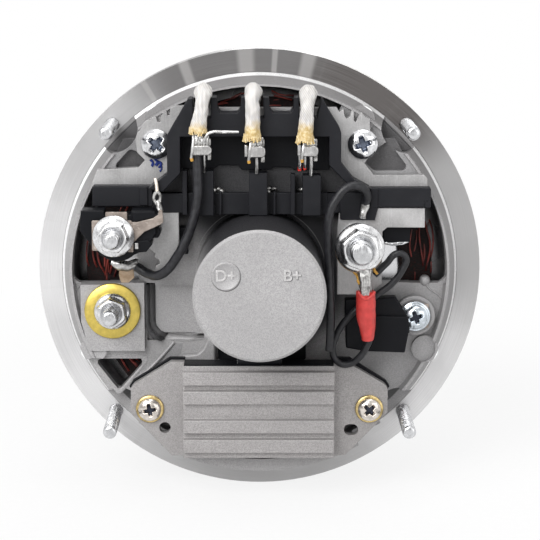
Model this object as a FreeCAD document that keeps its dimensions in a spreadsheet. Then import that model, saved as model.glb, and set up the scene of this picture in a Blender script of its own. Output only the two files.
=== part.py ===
import FreeCAD
import Part
import Sketcher
import math
import os
from FreeCAD import Placement, Rotation, Vector

# Car alternator with its rear end open to view: cast end shields, wound stator,
# claw-pole rotor on ball bearings, brushes, rectifier, regulator and terminals.
# The shaft lies along Y. The origin is on the shaft axis, at the rear face of the
# mounting ring. "Stand" is the distance that something stands out behind that face,
# towards -Y, so the drive end has negative stands. X is to the right and Z up,
# as seen from behind.

# Driving dimensions, in millimetres
SIZES = [
    # Mounting ring and drive end shield
    ("ring_radius", 82.5, "outside radius of the mounting ring"),
    ("ring_thickness", 10, "axial thickness of the mounting ring"),
    ("register_depth", 1, "how deep the rear shield sits in the ring"),
    ("register_gap", 0.1, "between the rear shield and the step in the ring"),
    ("wall", 4, "wall of the drive end shell"),
    ("shell_length", 71, "from the ring's rear face to the outside of the front plate"),
    ("plate_thickness", 5, "front plate"),
    ("boss_radius", 29, "bearing boss"),
    ("boss_length", 13, "how far the boss stands out of the front plate"),
    ("front_lip", 4, "end wall of the bearing boss, in front of the bearing"),
    ("front_hole_radius", 14, "shaft opening in the end wall"),
    ("vent_count", 8, "cooling openings in the front plate"),
    ("vent_inner", 35, "inner edge of a front opening"),
    ("vent_outer", 60, "outer edge of a front opening"),
    ("vent_inner_half", 7, "half width of a front opening at its inner edge"),
    ("vent_outer_half", 15, "half width of a front opening at its outer edge"),
    # Slip ring end shield
    ("rim_radius", 73.9, "rim of the rear shield at the ring face"),
    ("rim_top_radius", 70.4, "rim at its lip, outside"),
    ("lip_radius", 69.3, "rim at its lip, inside"),
    ("rim_height", 8.7, "how far the rim stands out"),
    ("floor_radius", 68.6, "foot of the rim's inside wall"),
    ("floor_thickness", 5, "floor of the rear shield"),
    ("dome_radius", 23.4, "bearing dome at its end"),
    ("dome_stand", 55, "end face of the bearing dome"),
    ("dome_edge", 0.9, "bevel round the dome's end"),
    ("dome_end_wall", 5, "end wall of the dome"),
    ("seat_half_angle", 30, "half the angle that the tall part of the rim takes at the bottom"),
    ("seat_height", 15, "tall part of the rim, below the regulator"),
    ("side_vent_inner", 45, "inner edge of the two side openings"),
    ("side_vent_low", -4, "lower edge of the side openings"),
    ("side_vent_high", 31, "upper edge of the side openings at their inner side"),
    ("side_vent_gap", 1.6, "left between an opening and the rim"),
    ("side_vent_turn", 20, "angle of the first corner of their round edge"),
    ("side_vent_end", 33, "angle of the last corner of their round edge"),
    ("top_vent_half", 31, "half width of the top opening"),
    ("top_vent_edge", 69.4, "its outer edge, in the rim"),
    ("top_vent_first", 63.5, "angle of its right-hand corner"),
    ("top_vent_step", 6.625, "angle from point to point of its outer edge"),
    ("top_vent_low", 52, "lower edge of the top opening"),
    ("corner_vent_inner", 44, "inner edge of the two upper corner openings"),
    ("corner_vent_low", 39.5, "lower edge of the corner openings"),
    ("corner_vent_high", 46.5, "upper edge of the corner openings"),
    ("corner_vent_outer", 55, "outer corner of the corner openings"),
    ("corner_vent_slope", 6, "how far their outer side leans in"),
    ("foot_vent_low", -44, "tip of the triangular opening"),
    ("foot_vent_high", -32.8, "base of the triangular opening"),
    ("foot_vent_inner", -44, "right end of its base"),
    ("foot_vent_outer", -60, "left end of its base"),
    ("foot_vent_tip", -53.5, "where its tip lies across"),
    ("under_vent_half", 24, "half width of the opening below the regulator"),
    ("under_vent_low", -66.8, "lower edge of that opening"),
    ("under_vent_high", -55, "upper edge of that opening"),
    ("tray_left", -42, "left wall of the shallow tray"),
    ("tray_right", -24, "right end of the shallow tray"),
    ("tray_low", -26, "lower wall of the shallow tray"),
    ("tray_high", -5, "upper end of the shallow tray"),
    ("tray_depth", 2.5, "depth of the shallow tray"),
    # Studs and bolts that hold the casing
    ("stud_inset", 5.5, "circle of the mounting studs, inside the ring's edge"),
    ("stud_radius", 2.5, "M5 mounting stud"),
    ("stud_stand", 33, "free end of the mounting studs"),
    ("stud_relief", 8, "clearance round a mounting stud in the rim"),
    ("stud_relief_shift", 3, "its centre, inside the circle of the studs"),
    ("stud_hole_radius", 2.65, "hole in the ring for a mounting stud, to its corners"),
    ("thread_gap", 0.05, "a stud in its nut or hole"),
    ("bolt_radius", 2.5, "M5 through bolt"),
    ("bolt_hole_radius", 2.9, "clearance hole for a through bolt, to its corners"),
    ("bolt_inset", 2.7, "circle of the through bolts, inside the core's edge"),
    ("bolt_upper_turn", 57, "angle of the upper through bolts"),
    ("bolt_lower_turn", -25, "angle of the lower through bolts"),
    ("bolt_room", 3.1, "half width of a notch for a through bolt in the core"),
    ("bolt_head", 8, "across flats of a bolt head"),
    ("bolt_head_height", 4, "height of a bolt head"),
    ("bolt_boss_radius", 5, "pillar that a bolt screws into"),
    ("bolt_reach", 6, "how far a bolt screws into the rear shield"),
    # Stator
    ("stator_radius", 71, "outside radius of the stator core"),
    ("stator_fit", 0.05, "gap between the core and the shell"),
    ("stator_bore", 50.3, "bore of the stator core"),
    ("stator_start", 17, "core's rear face, ahead of the ring's rear face"),
    ("front_room", 2.5, "between the winding and the front plate"),
    ("slot_count", 36, "slots in the core"),
    ("slot_width", 4.2, "width of a slot"),
    ("yoke", 8, "core outside its slots"),
    ("slot_liner", 0.3, "insulation between a coil and its slot"),
    ("coil_bore_room", 2.3, "winding head outside the core's bore"),
    ("coil_room", 6, "winding head inside the core's edge"),
    ("bar_inset", 0.4, "coils in the slots outside the winding head's bore"),
    ("coil_head", 14.5, "how far a winding head stands out of the core"),
    # Rotor
    ("air_gap", 0.5, "between rotor and stator"),
    ("pole_pairs", 6, "claws on each pole"),
    ("rotor_overhang", 6, "claw poles beyond each end of the core"),
    ("pole_plate", 12, "thickness of a pole's plate"),
    ("pole_hub_radius", 28, "plate between the claws"),
    ("claw_root_half", 13.2, "half width of a claw at its root"),
    ("claw_tip_half", 4.8, "half width of a claw at its tip"),
    ("claw_root_inner", 38.5, "inside of a claw at its root"),
    ("claw_tip_inner", 45.5, "inside of a claw at its tip"),
    ("claw_end_gap", 1.5, "tip of a claw short of the other pole's outer face"),
    ("claw_trim", 20, "depth of the cuts beside a claw"),
    ("arm_root", 14, "inner end of a pole's arms"),
    ("blank_room", 3, "a pole's blank outside the turned rotor"),
    ("core_radius", 19, "iron core inside the field coil"),
    ("field_coil_radius", 37, "outside of the field coil"),
    ("field_coil_gap", 1, "field coil to the pole plates"),
    ("shaft_radius", 10, "shaft inside the poles"),
    ("shaft_nose_radius", 8.5, "drive bearing seat and pulley seat"),
    ("shaft_thread_radius", 8, "M16 thread for the pulley nut"),
    ("shaft_rear_radius", 7.5, "rear bearing seat"),
    ("nose_length", 21, "plain nose in front of the boss"),
    ("thread_length", 20, "thread at the drive end"),
    ("collar_radius", 12, "collar between the drive bearing and the pulley"),
    ("collar_proud", 0.5, "how far the collar stands out of the boss"),
    ("shaft_rear", 47.5, "rear end of the shaft"),
    ("shaft_step", 4, "start of the rear journal, ahead of the ring's rear face"),
    ("key_width", 4, "keyseat"),
    ("key_depth", 3.4, "depth of the keyseat"),
    ("key_inset", 6, "rear end of the keyseat, in front of the boss"),
    ("key_length", 12, "length of the keyseat"),
    # Bearings
    ("drive_bearing_radius", 23.5, "outside of the 17 x 47 x 14 bearing"),
    ("drive_bearing_width", 14, "its width"),
    ("rear_bearing_radius", 17.5, "outside of the 15 x 35 x 11 bearing"),
    ("rear_bearing_width", 11, "its width"),
    ("rear_bearing_stand", 36, "its drive side"),
    ("shoulder_gap", 0.2, "shaft's shoulder and collar short of the drive bearing"),
    ("bearing_gap", 0.06, "running gap of the shaft in a bearing"),
    # Slip rings and brushes
    ("slip_radius", 11.5, "slip rings"),
    ("slip_start", 4, "drive side of the slip ring barrel"),
    ("slip_length", 18, "length of the barrel"),
    ("brush_stand", 9.2, "middle of the inner brush"),
    ("brush_pitch", 8.3, "from the inner to the outer brush"),
    ("brush_width", 6, "across the shaft"),
    ("brush_thickness", 5, "along the shaft"),
    ("brush_length", 16, "new brush"),
    ("brush_gap", 0.08, "running gap of a brush on its ring"),
    ("brush_slide", 0.25, "gap of a brush in its guide"),
    ("holder_half", 8, "half width of the brush holder"),
    ("holder_top", -14, "end of the brush holder, beside the rings"),
    ("holder_foot", -47, "far end of the brush holder"),
    ("holder_base", 5.3, "drive side of the brush holder"),
    ("holder_height", 17, "depth of the brush holder"),
    ("guide_foot", -45, "bottom of a brush guide"),
    ("spring_radius", 2.1, "brush spring"),
    ("holder_room", 0.3, "gap round the brush holder"),
    # Regulator
    ("regulator_middle", -48.9, "height of the regulator's two screws"),
    ("regulator_plate_stand", 19, "rear face of its flange"),
    ("regulator_plate", 4, "thickness of its flange"),
    ("regulator_half", 47.4, "half length of its flange"),
    ("regulator_end_half", 5, "half height of the flange's ends"),
    ("regulator_flat_half", 32.6, "half length of the flange's long sides"),
    ("regulator_rise", 17.7, "from the screws to a long side"),
    ("regulator_screw_x", 40.5, "screws, across"),
    ("regulator_screw_hole", 2.7, "screw holes"),
    ("regulator_boss", 8, "radius of the pillars below the screws"),
    ("regulator_hole_x", -35, "spare hole, across"),
    ("regulator_hole_drop", 7.6, "spare hole and slot, below the screws"),
    ("regulator_hole_radius", 2.1, "spare hole"),
    ("regulator_slot_x", 33.9, "slot, across"),
    ("regulator_slot_half", 2.6, "half length of the slot"),
    ("block_half", 27.7, "half length of the finned block"),
    ("block_rise", 17.4, "half height of the finned block"),
    ("block_stand", 25, "between the fins"),
    ("fin_stand", 27, "top of the fins"),
    ("fin_first", 2.7, "from the middle of the block to the first fin"),
    ("fin_pitch", 7.3, "from fin to fin"),
    ("fin_width", 4.8, "width of a fin at its foot"),
    ("fin_slope", 0.5, "slope of a fin's side"),
    ("block_root", 0.5, "how far the finned block reaches into its flange"),
    # Rectifier
    ("sink_base", 8, "drive side of the negative heat sink"),
    ("sink_thickness", 4, "heat sinks and carrier foot"),
    ("sink_half", 60.2, "half length of the negative heat sink"),
    ("sink_low", 27, "its lower edge"),
    ("sink_arm_high", 37.5, "upper edge of its arms"),
    ("sink_arm_cut", 4, "bevel at the end of its arms, up"),
    ("sink_arm_bevel", 3, "bevel at the end of its arms, across"),
    ("sink_web_half", 44, "half width over the screws"),
    ("sink_web_high", 47, "top of the web outside the screws"),
    ("sink_top_half", 32, "half width of its top"),
    ("sink_top", 59, "its top edge"),
    ("rectifier_screw_x", 37, "rectifier screws, across"),
    ("rectifier_screw_z", 48.2, "rectifier screws, up"),
    ("rectifier_boss", 6, "radius of the pillars below the screws"),
    ("screw_hole", 2.3, "hole for a rectifier screw"),
    ("plus_overhang", 0.2, "its right end beyond the negative heat sink"),
    ("plus_high", 25.5, "its upper edge, against the carrier"),
    ("plus_bar_low", 18.3, "lower edge of its arm"),
    ("plus_tab_left", 28.6, "left edge of its terminal tab"),
    ("plus_tab_right", 45, "right edge of its terminal tab"),
    ("plus_tab_low", -7, "lower edge of its terminal tab"),
    ("plus_leg_right", -26.5, "right edge of its left leg"),
    ("plus_leg_left", -36, "left edge of its left leg"),
    ("plus_leg_low", 3, "lower edge of its left leg"),
    ("plus_leg_slope", 6, "rise of that edge"),
    ("plus_back_rise", 5.5, "lower edge of its middle, above that of its arm"),
    ("diode_half", 5, "half side of a moulded diode"),
    ("low_diode_height", 2.9, "diodes between the floor and the negative sink"),
    ("high_diode_height", 5, "diodes below the positive sink"),
    ("diode_pitch", 18, "from diode to diode"),
    ("diode_row", 45, "row of diodes below the negative sink"),
    ("diode_inset", 3, "diode above the lower edge of the terminal tab"),
    ("diode_drop", 1, "middle of the right diode below the arm's edge"),
    ("carrier_arm_high", 33.3, "upper edge of the carrier's arms"),
    ("carrier_left", -33.2, "left side of the carrier"),
    ("carrier_right", 30.5, "right side of the carrier"),
    ("carrier_top_left", -24.9, "left end of the carrier's top wall"),
    ("carrier_top_right", 22.7, "right end of the carrier's top wall"),
    ("carrier_shoulder", 53.5, "where its slanting sides begin"),
    ("carrier_top", 66, "top of the carrier"),
    ("carrier_wall_low", 52, "foot of the carrier's top wall"),
    ("carrier_open_low", 39, "lower edge of the carrier's opening"),
    ("carrier_side", 4, "walls round the carrier's opening"),
    ("carrier_flare", 3, "right side wider at the foot"),
    ("carrier_floor", 1.5, "floor of the carrier's opening"),
    ("carrier_stand", 22, "top of the carrier's walls"),
    ("carrier_notch_width", 9.3, "notches in the top wall"),
    ("carrier_notch_depth", 5.4, "notches in the top wall"),
    ("carrier_notch_left", -15.6, "left side of the left notch"),
    ("carrier_notch_pitch", 18.6, "from notch to notch"),
    ("lead_channel_half", 3.3, "half width of the channels for the sleeves"),
    ("lead_channel_low", 58.8, "bottom of those channels"),
    ("post_half", 3.2, "half width of a terminal post"),
    ("post_low", 30, "foot of the terminal posts"),
    ("post_high", 44.5, "top of the terminal posts"),
    ("post_first", -20, "left post, across"),
    ("post_pitch", 19.2, "from post to post"),
    # Phase leads and their sleeves
    ("sleeve_radius", 2.9, "insulating sleeve"),
    ("sleeve_foot_z", 53.5, "lower end of a sleeve"),
    ("sleeve_foot_stand", 25.5, "lower end of a sleeve"),
    ("sleeve_top_z", 65.2, "top of a sleeve"),
    ("sleeve_top_stand", 27.5, "where a sleeve bends over the carrier"),
    ("sleeve_root_z", 61.9, "where a sleeve leaves the top opening"),
    ("sleeve_root_stand", 1, "where a sleeve leaves the top opening"),
    ("sleeve_bend", 5.5, "straight length that the bend takes from each run"),
    ("sleeve_first", -21.5, "left sleeve, across"),
    ("sleeve_pitch", 19.3, "from sleeve to sleeve"),
    ("clip_half", 3, "half width of a phase terminal"),
    ("clip_gap", 0.3, "phase terminal to carrier and sleeve"),
    ("clip_lap", 1, "phase terminal over its post"),
    ("clip_thickness", 3, "phase terminal"),
    # Leads
    ("phase_tap_radius", 1.5, "lead from the left phase terminal"),
    ("regulator_lead_radius", 1.4, "lead from the positive sink to the regulator"),
    ("capacitor_lead_radius", 1.05, "lead from the capacitor"),
    # Terminal at the positive side
    ("b_plus_x", 36.1, "main terminal, across"),
    ("b_plus_z", 12.8, "main terminal, up"),
    ("b_plus_radius", 4, "M8 stud"),
    ("b_plus_stand", 42, "end of the main stud"),
    ("b_plus_flats", 13, "across flats of the M8 nut"),
    ("b_plus_flange", 8.95, "flange of the M8 nut"),
    ("b_plus_nut_stand", 27.8, "seat of the M8 nut"),
    ("b_plus_nut_height", 7.5, "M8 nut"),
    ("lug_thickness", 1.4, "ring lug"),
    ("lug_radius", 7.4, "ring lug"),
    ("lug_barrel_half", 2.7, "half width of the lug's barrel"),
    ("lug_barrel_low", -4, "end of the lug's barrel"),
    ("lug_overlap", 5, "barrel's start, below the middle of the eye"),
    ("red_sleeve_half", 3.6, "half width of the sleeve on the lug"),
    ("red_sleeve_x", 38.6, "middle of that sleeve, across"),
    ("red_sleeve_low", -22, "tip of that sleeve"),
    ("red_sleeve_stand", 21, "drive side of that sleeve"),
    ("red_sleeve_depth", 5.4, "thickness of that sleeve"),
    ("red_sleeve_mouth", 4, "length of its straight end"),
    ("red_sleeve_taper", 3, "its tip"),
    # Terminal at the exciter side
    ("d_plus_inset", 7.7, "exciter terminal from the end of the heat sink"),
    ("d_plus_z", 17, "exciter terminal, up"),
    ("d_plus_radius", 3, "M6 stud"),
    ("d_plus_stand", 39.5, "end of the exciter stud"),
    ("d_plus_flats", 10, "across flats of an M6 nut"),
    ("d_plus_flange", 7.6, "flange of the M6 nut"),
    ("d_plus_nut_stand", 27.6, "seat of the M6 nut"),
    ("small_nut_height", 6, "M6 nuts"),
    ("block_left", 12.8, "left end of the terminal block, from its stud"),
    ("block_right", 15.5, "right end of the terminal block, from its stud"),
    ("block_step_z", 16.8, "step in the terminal block's left side"),
    ("block_step", 5, "that step, left of the stud"),
    ("block_low", 8, "foot of the terminal block"),
    ("block_cut", 5, "slanted corner of the block, across"),
    ("block_cut_rise", 6, "slanted corner of the block, up"),
    ("block_base", 8, "drive side of the terminal block"),
    ("block_top", 26.2, "seat of the tab on the terminal block"),
    ("tab_thickness", 1, "exciter tab"),
    ("tab_half", 7.5, "half width of the tab's square part"),
    ("tab_low", 5, "square part below the stud"),
    ("tab_high", 8.6, "square part above the stud"),
    ("tab_corner", 3, "its cut corners"),
    ("tab_neck", 3.5, "width of the strip where it leaves the square part"),
    ("tab_reach", 17.8, "end of the strip, right of the stud"),
    ("tab_end_low", 5, "lower corner of the strip's end"),
    ("tab_end_high", 7.2, "upper corner of the strip's end"),
    ("tap_lug_shift", 2.7, "lug below the terminal block, right of the stud"),
    ("tap_lug_z", 4.2, "lug below the terminal block, up"),
    ("tap_lug_radius", 5, "eye of that lug"),
    ("tap_lug_half", 3, "half width of its tongue"),
    # Ground terminal
    ("ground_x", -54.6, "ground terminal, across"),
    ("ground_z", -13.9, "ground terminal, up"),
    ("ground_root", 2, "foot of the ground stud"),
    ("ground_stand", 26, "end of the ground stud"),
    ("ground_flange", 6.9, "flange of its nut"),
    ("ground_washer", 10.4, "large washer"),
    ("ground_washer_thickness", 1.5, "large washer"),
    ("ground_pad_stand", 9, "pad below the ground terminal"),
    ("ground_pad_left", -66.4, "left end of the pad"),
    ("ground_pad_right", -42.8, "right end of the pad"),
    ("ground_pad_low", -29.3, "lower side of the pad"),
    ("ground_pad_high", -3.5, "upper side of the pad"),
    ("ground_pad_cut", 3, "slanted corner of the pad, across"),
    ("ground_pad_rise", 11, "slanted corner of the pad, up"),
    # Suppression capacitor
    ("capacitor_left", 31.4, "left end of the capacitor"),
    ("capacitor_right", 55, "right end of the capacitor"),
    ("capacitor_top", -8.6, "top of the capacitor"),
    ("capacitor_step_x", 42.5, "step in its lower side"),
    ("capacitor_step_z", -14.8, "step in its lower side"),
    ("capacitor_low", -28.2, "its lower side"),
    ("capacitor_slant", 4, "slope of the step's side"),
    ("capacitor_draft", 1.5, "slope of its right side"),
    ("capacitor_base", 9, "its drive side, on the spot face"),
    ("capacitor_stand", 16, "its rear face"),
    ("capacitor_screw_x", 57.8, "its screw, across"),
    ("capacitor_screw_z", -15.8, "its screw, up"),
    ("capacitor_pad_radius", 7.4, "spot face below its screw"),
    ("capacitor_pad_stand", 9, "spot face below its screw"),
    ("bracket_thickness", 1.2, "its bracket"),
    ("bracket_half", 4.5, "half width of its bracket"),
    ("bracket_reach", 5, "its bracket beyond the screw"),
    ("bracket_hole", 1.95, "hole in its bracket, to its corners"),
    # Cutting forms
    ("overrun", 1, "how far a cutting form starts outside its piece"),
]

doc = FreeCAD.newDocument("alternator")
sheet = doc.addObject("Spreadsheet::Sheet", "dim")
for row, (alias, value, meaning) in enumerate(SIZES, 1):
    sheet.set("A%d" % row, meaning)
    sheet.set("B%d" % row, str(value))
    sheet.setAlias("B%d" % row, alias)
doc.recompute()

pieces = []
FIRST_RADIUS = 60


def size(alias):
    return float(getattr(sheet, alias))


def origin_item(body, role):
    for item in body.Origin.OriginFeatures:
        if item.Role == role:
            return item
    raise LookupError(role)


def new_body(label):
    body = doc.addObject("PartDesign::Body", label)
    body.Label = label
    pieces.append(body)
    return body


def new_sketch(body, name, role, offset="0"):
    sketch = body.newObject("Sketcher::SketchObject", name)
    sketch.AttachmentSupport = [(origin_item(body, role), "")]
    sketch.MapMode = "FlatFace"
    sketch.setExpression("AttachmentOffset.Base.z", offset)
    return sketch


def bind(sketch, constraint, expression):
    number = sketch.addConstraint(constraint)
    sketch.setExpression("Constraints[%d]" % number, expression)


def polygon(sketch, corners):
    """A closed outline whose corners are pairs of sheet expressions."""
    first = sketch.GeometryCount
    count = len(corners)
    start = []
    for number in range(count):
        turn = 2 * math.pi * number / count
        start.append(Vector(FIRST_RADIUS * math.cos(turn), FIRST_RADIUS * math.sin(turn), 0))
    for number in range(count):
        sketch.addGeometry(Part.LineSegment(start[number], start[(number + 1) % count]), False)
    for number in range(count):
        following = first + (number + 1) % count
        sketch.addConstraint(Sketcher.Constraint("Coincident", first + number, 2, following, 1))
    for number, (across, up) in enumerate(corners):
        line = first + number
        bind(sketch, Sketcher.Constraint("DistanceX", -1, 1, line, 1, start[number].x), across)
        bind(sketch, Sketcher.Constraint("DistanceY", -1, 1, line, 1, start[number].y), up)


def circle(sketch, across, up, radius):
    number = sketch.addGeometry(Part.Circle(Vector(1, 1, 0), Vector(0, 0, 1), 5), False)
    bind(sketch, Sketcher.Constraint("DistanceX", -1, 1, number, 3, 1.0), across)
    bind(sketch, Sketcher.Constraint("DistanceY", -1, 1, number, 3, 1.0), up)
    bind(sketch, Sketcher.Constraint("Radius", number, 5.0), radius)


def rectangle(left, right, low, high):
    return [(left, low), (right, low), (right, high), (left, high)]


def many_sided(across, up, radius, sides):
    """A regular outline, by the radius to its corners."""
    corners = []
    for number in range(sides):
        turn = f"{number} * 360 deg / {sides}"
        corners.append((f"{across} + {radius} * cos({turn})", f"{up} + {radius} * sin({turn})"))
    return corners


def mirrored(corners):
    """A right-hand outline, bottom to top, with its mirror image on the left."""
    return corners + [("-(%s)" % across, up) for across, up in reversed(corners)]


def pad(body, name, start, depth, outlines=(), rounds=()):
    """Material from one stand to another, outlined as seen from behind."""
    sketch = new_sketch(body, name + "Sketch", "XZ_Plane", start)
    for corners in outlines:
        polygon(sketch, corners)
    for across, up, radius in rounds:
        circle(sketch, across, up, radius)
    feature = body.newObject("PartDesign::Pad", name)
    feature.Profile = sketch
    feature.setExpression("Length", depth)
    body.Tip = feature
    return feature


def pocket(body, name, top, depth, outlines=(), rounds=()):
    """A hole that starts at a stand and goes towards the drive end."""
    sketch = new_sketch(body, name + "Sketch", "XZ_Plane", top)
    for corners in outlines:
        polygon(sketch, corners)
    for across, up, radius in rounds:
        circle(sketch, across, up, radius)
    feature = body.newObject("PartDesign::Pocket", name)
    feature.Profile = sketch
    feature.setExpression("Length", depth)
    body.Tip = feature
    return feature


def turned(body, name, profile):
    """A turned form about the shaft axis, from pairs of radius and stand."""
    sketch = new_sketch(body, name + "Sketch", "XY_Plane")
    polygon(sketch, [(radius, "-(%s)" % stand) for radius, stand in profile])
    feature = body.newObject("PartDesign::Revolution", name)
    feature.Profile = sketch
    feature.ReferenceAxis = (sketch, ["V_Axis"])
    feature.Angle = 360
    body.Tip = feature
    return feature


def around_shaft(body, name, features, count):
    pattern = body.newObject("PartDesign::PolarPattern", name)
    pattern.Originals = features
    pattern.Axis = (origin_item(body, "Y_Axis"), [""])
    pattern.Angle = 360
    pattern.setExpression("Occurrences", count)
    body.Tip = pattern
    return pattern


def place(item, across, up, stand):
    item.setExpression("Placement.Base.x", across)
    item.setExpression("Placement.Base.y", "-(%s)" % stand)
    item.setExpression("Placement.Base.z", up)
    return item


def facing_rear(item, across, up, stand):
    """Stands a primitive on its base at a stand, with its axis towards the rear."""
    item.Placement = Placement(Vector(0, 0, 0), Rotation(Vector(1, 0, 0), 90))
    return place(item, across, up, stand)


def cylinder(name, across, up, stand, height, radius):
    item = doc.addObject("Part::Cylinder", name)
    item.setExpression("Radius", radius)
    item.setExpression("Height", height)
    return facing_rear(item, across, up, stand)


def prism(name, across, up, stand, height, sides, corner_radius):
    item = doc.addObject("Part::Prism", name)
    item.setExpression("Polygon", str(sides))
    item.setExpression("Circumradius", corner_radius)
    item.setExpression("Height", height)
    return facing_rear(item, across, up, stand)


def box(name, left, right, low, high, stand, depth):
    item = doc.addObject("Part::Box", name)
    item.setExpression("Length", "(%s) - (%s)" % (right, left))
    item.setExpression("Height", "(%s) - (%s)" % (high, low))
    item.setExpression("Width", depth)
    return place(item, left, low, "(%s) + (%s)" % (stand, depth))


def named(item, label):
    item.Label = label
    pieces.append(item)
    return item


def joined(name, items):
    item = doc.addObject("Part::MultiFuse", name)
    item.Shapes = items
    return item


def cut(name, base, tools):
    item = doc.addObject("Part::Cut", name)
    item.Base = base
    item.Tool = tools[0] if len(tools) == 1 else joined(name + "Tools", tools)
    return item


def group(name, items):
    item = doc.addObject("Part::Compound", name)
    item.Links = items
    return item


TOP_VENT_POINTS = 9
LEAD_SIDES = 6
LEAD_CHORDS = 4
SLEEVE_SIDES = 12
SLEEVE_CHORDS = 5
RIGHT_CORNERS = 1
HOLE_SIDES = 12
PILLAR_SIDES = 16
ROUND_SIDES = 24
CORE_SIDES = 36
FLATS_TO_CORNER = "1 / (2 * cos(30 deg))"
SHELL_BORE = "dim.stator_radius + dim.stator_fit"
SHELL_OUTER = "dim.stator_radius + dim.stator_fit + dim.wall"
SHIELD_BASE = "-dim.register_depth"
BOSS_END = "(dim.shell_length + dim.boss_length)"
BEARING_END = "(dim.shell_length + dim.boss_length - dim.front_lip)"
SHAFT_SHOULDER = f"({BEARING_END} - dim.drive_bearing_width)"
WINDING_END = "(dim.shell_length - dim.plate_thickness - dim.front_room)"
STATOR_LENGTH = f"({WINDING_END} - dim.coil_head - dim.stator_start)"
SLOT_BOTTOM = "(dim.stator_radius - dim.yoke)"
COIL_OUTER = "(dim.stator_radius - dim.coil_room)"
COIL_INNER = "(dim.stator_bore + dim.coil_bore_room)"
ROTOR_START = "(dim.stator_start - dim.rotor_overhang)"
ROTOR_LENGTH = f"({STATOR_LENGTH} + 2 * dim.rotor_overhang)"
PLUS_RIGHT = "(dim.sink_half + dim.plus_overhang)"
D_PLUS_X = "-(dim.sink_half - dim.d_plus_inset)"
BOLT_CIRCLE = "(dim.stator_radius - dim.bolt_inset)"
BOLTS = []
for bolt_turn in ("dim.bolt_upper_turn", "dim.bolt_lower_turn"):
    for side in ("", "-"):
        BOLTS.append((f"{side}{BOLT_CIRCLE} * cos({bolt_turn})", f"{BOLT_CIRCLE} * sin({bolt_turn})"))


def at_studs(radius):
    """Places on a circle at the angles of the four mounting studs."""
    places = []
    for turn in ("45 deg", "135 deg", "225 deg", "315 deg"):
        places.append((f"{radius} * cos({turn})", f"{radius} * sin({turn})"))
    return places


STUDS = at_studs("(dim.ring_radius - dim.stud_inset)")


def drive_end_shield():
    body = new_body("drive_end_shield")
    inner_face = "-(dim.shell_length - dim.plate_thickness)"
    register = "dim.rim_radius + dim.register_gap"
    turned(body, "Shell", [
        (SHELL_BORE, SHIELD_BASE),
        (register, SHIELD_BASE),
        (register, "0"),
        ("dim.ring_radius", "0"),
        ("dim.ring_radius", "-dim.ring_thickness"),
        (SHELL_OUTER, "-dim.ring_thickness"),
        (SHELL_OUTER, "-dim.shell_length"),
        ("dim.boss_radius", "-dim.shell_length"),
        ("dim.boss_radius", "-" + BOSS_END),
        ("dim.front_hole_radius", "-" + BOSS_END),
        ("dim.front_hole_radius", "-" + BEARING_END),
        ("dim.drive_bearing_radius", "-" + BEARING_END),
        ("dim.drive_bearing_radius", inner_face),
        (SHELL_BORE, inner_face),
    ])
    vent = [
        ("-dim.vent_inner_half", "dim.vent_inner"),
        ("dim.vent_inner_half", "dim.vent_inner"),
        ("dim.vent_outer_half", "dim.vent_outer"),
        ("-dim.vent_outer_half", "dim.vent_outer"),
    ]
    opening = pocket(body, "Vent", inner_face, "dim.plate_thickness", [vent])
    around_shaft(body, "Vents", [opening], "dim.vent_count")
    pocket(body, "BoltHoles", inner_face, "dim.plate_thickness",
           [many_sided(x, z, "dim.bolt_hole_radius", HOLE_SIDES) for x, z in BOLTS])
    pocket(body, "StudHoles", "0", "dim.ring_thickness",
           [many_sided(x, z, "dim.stud_hole_radius", HOLE_SIDES) for x, z in STUDS])


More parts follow.
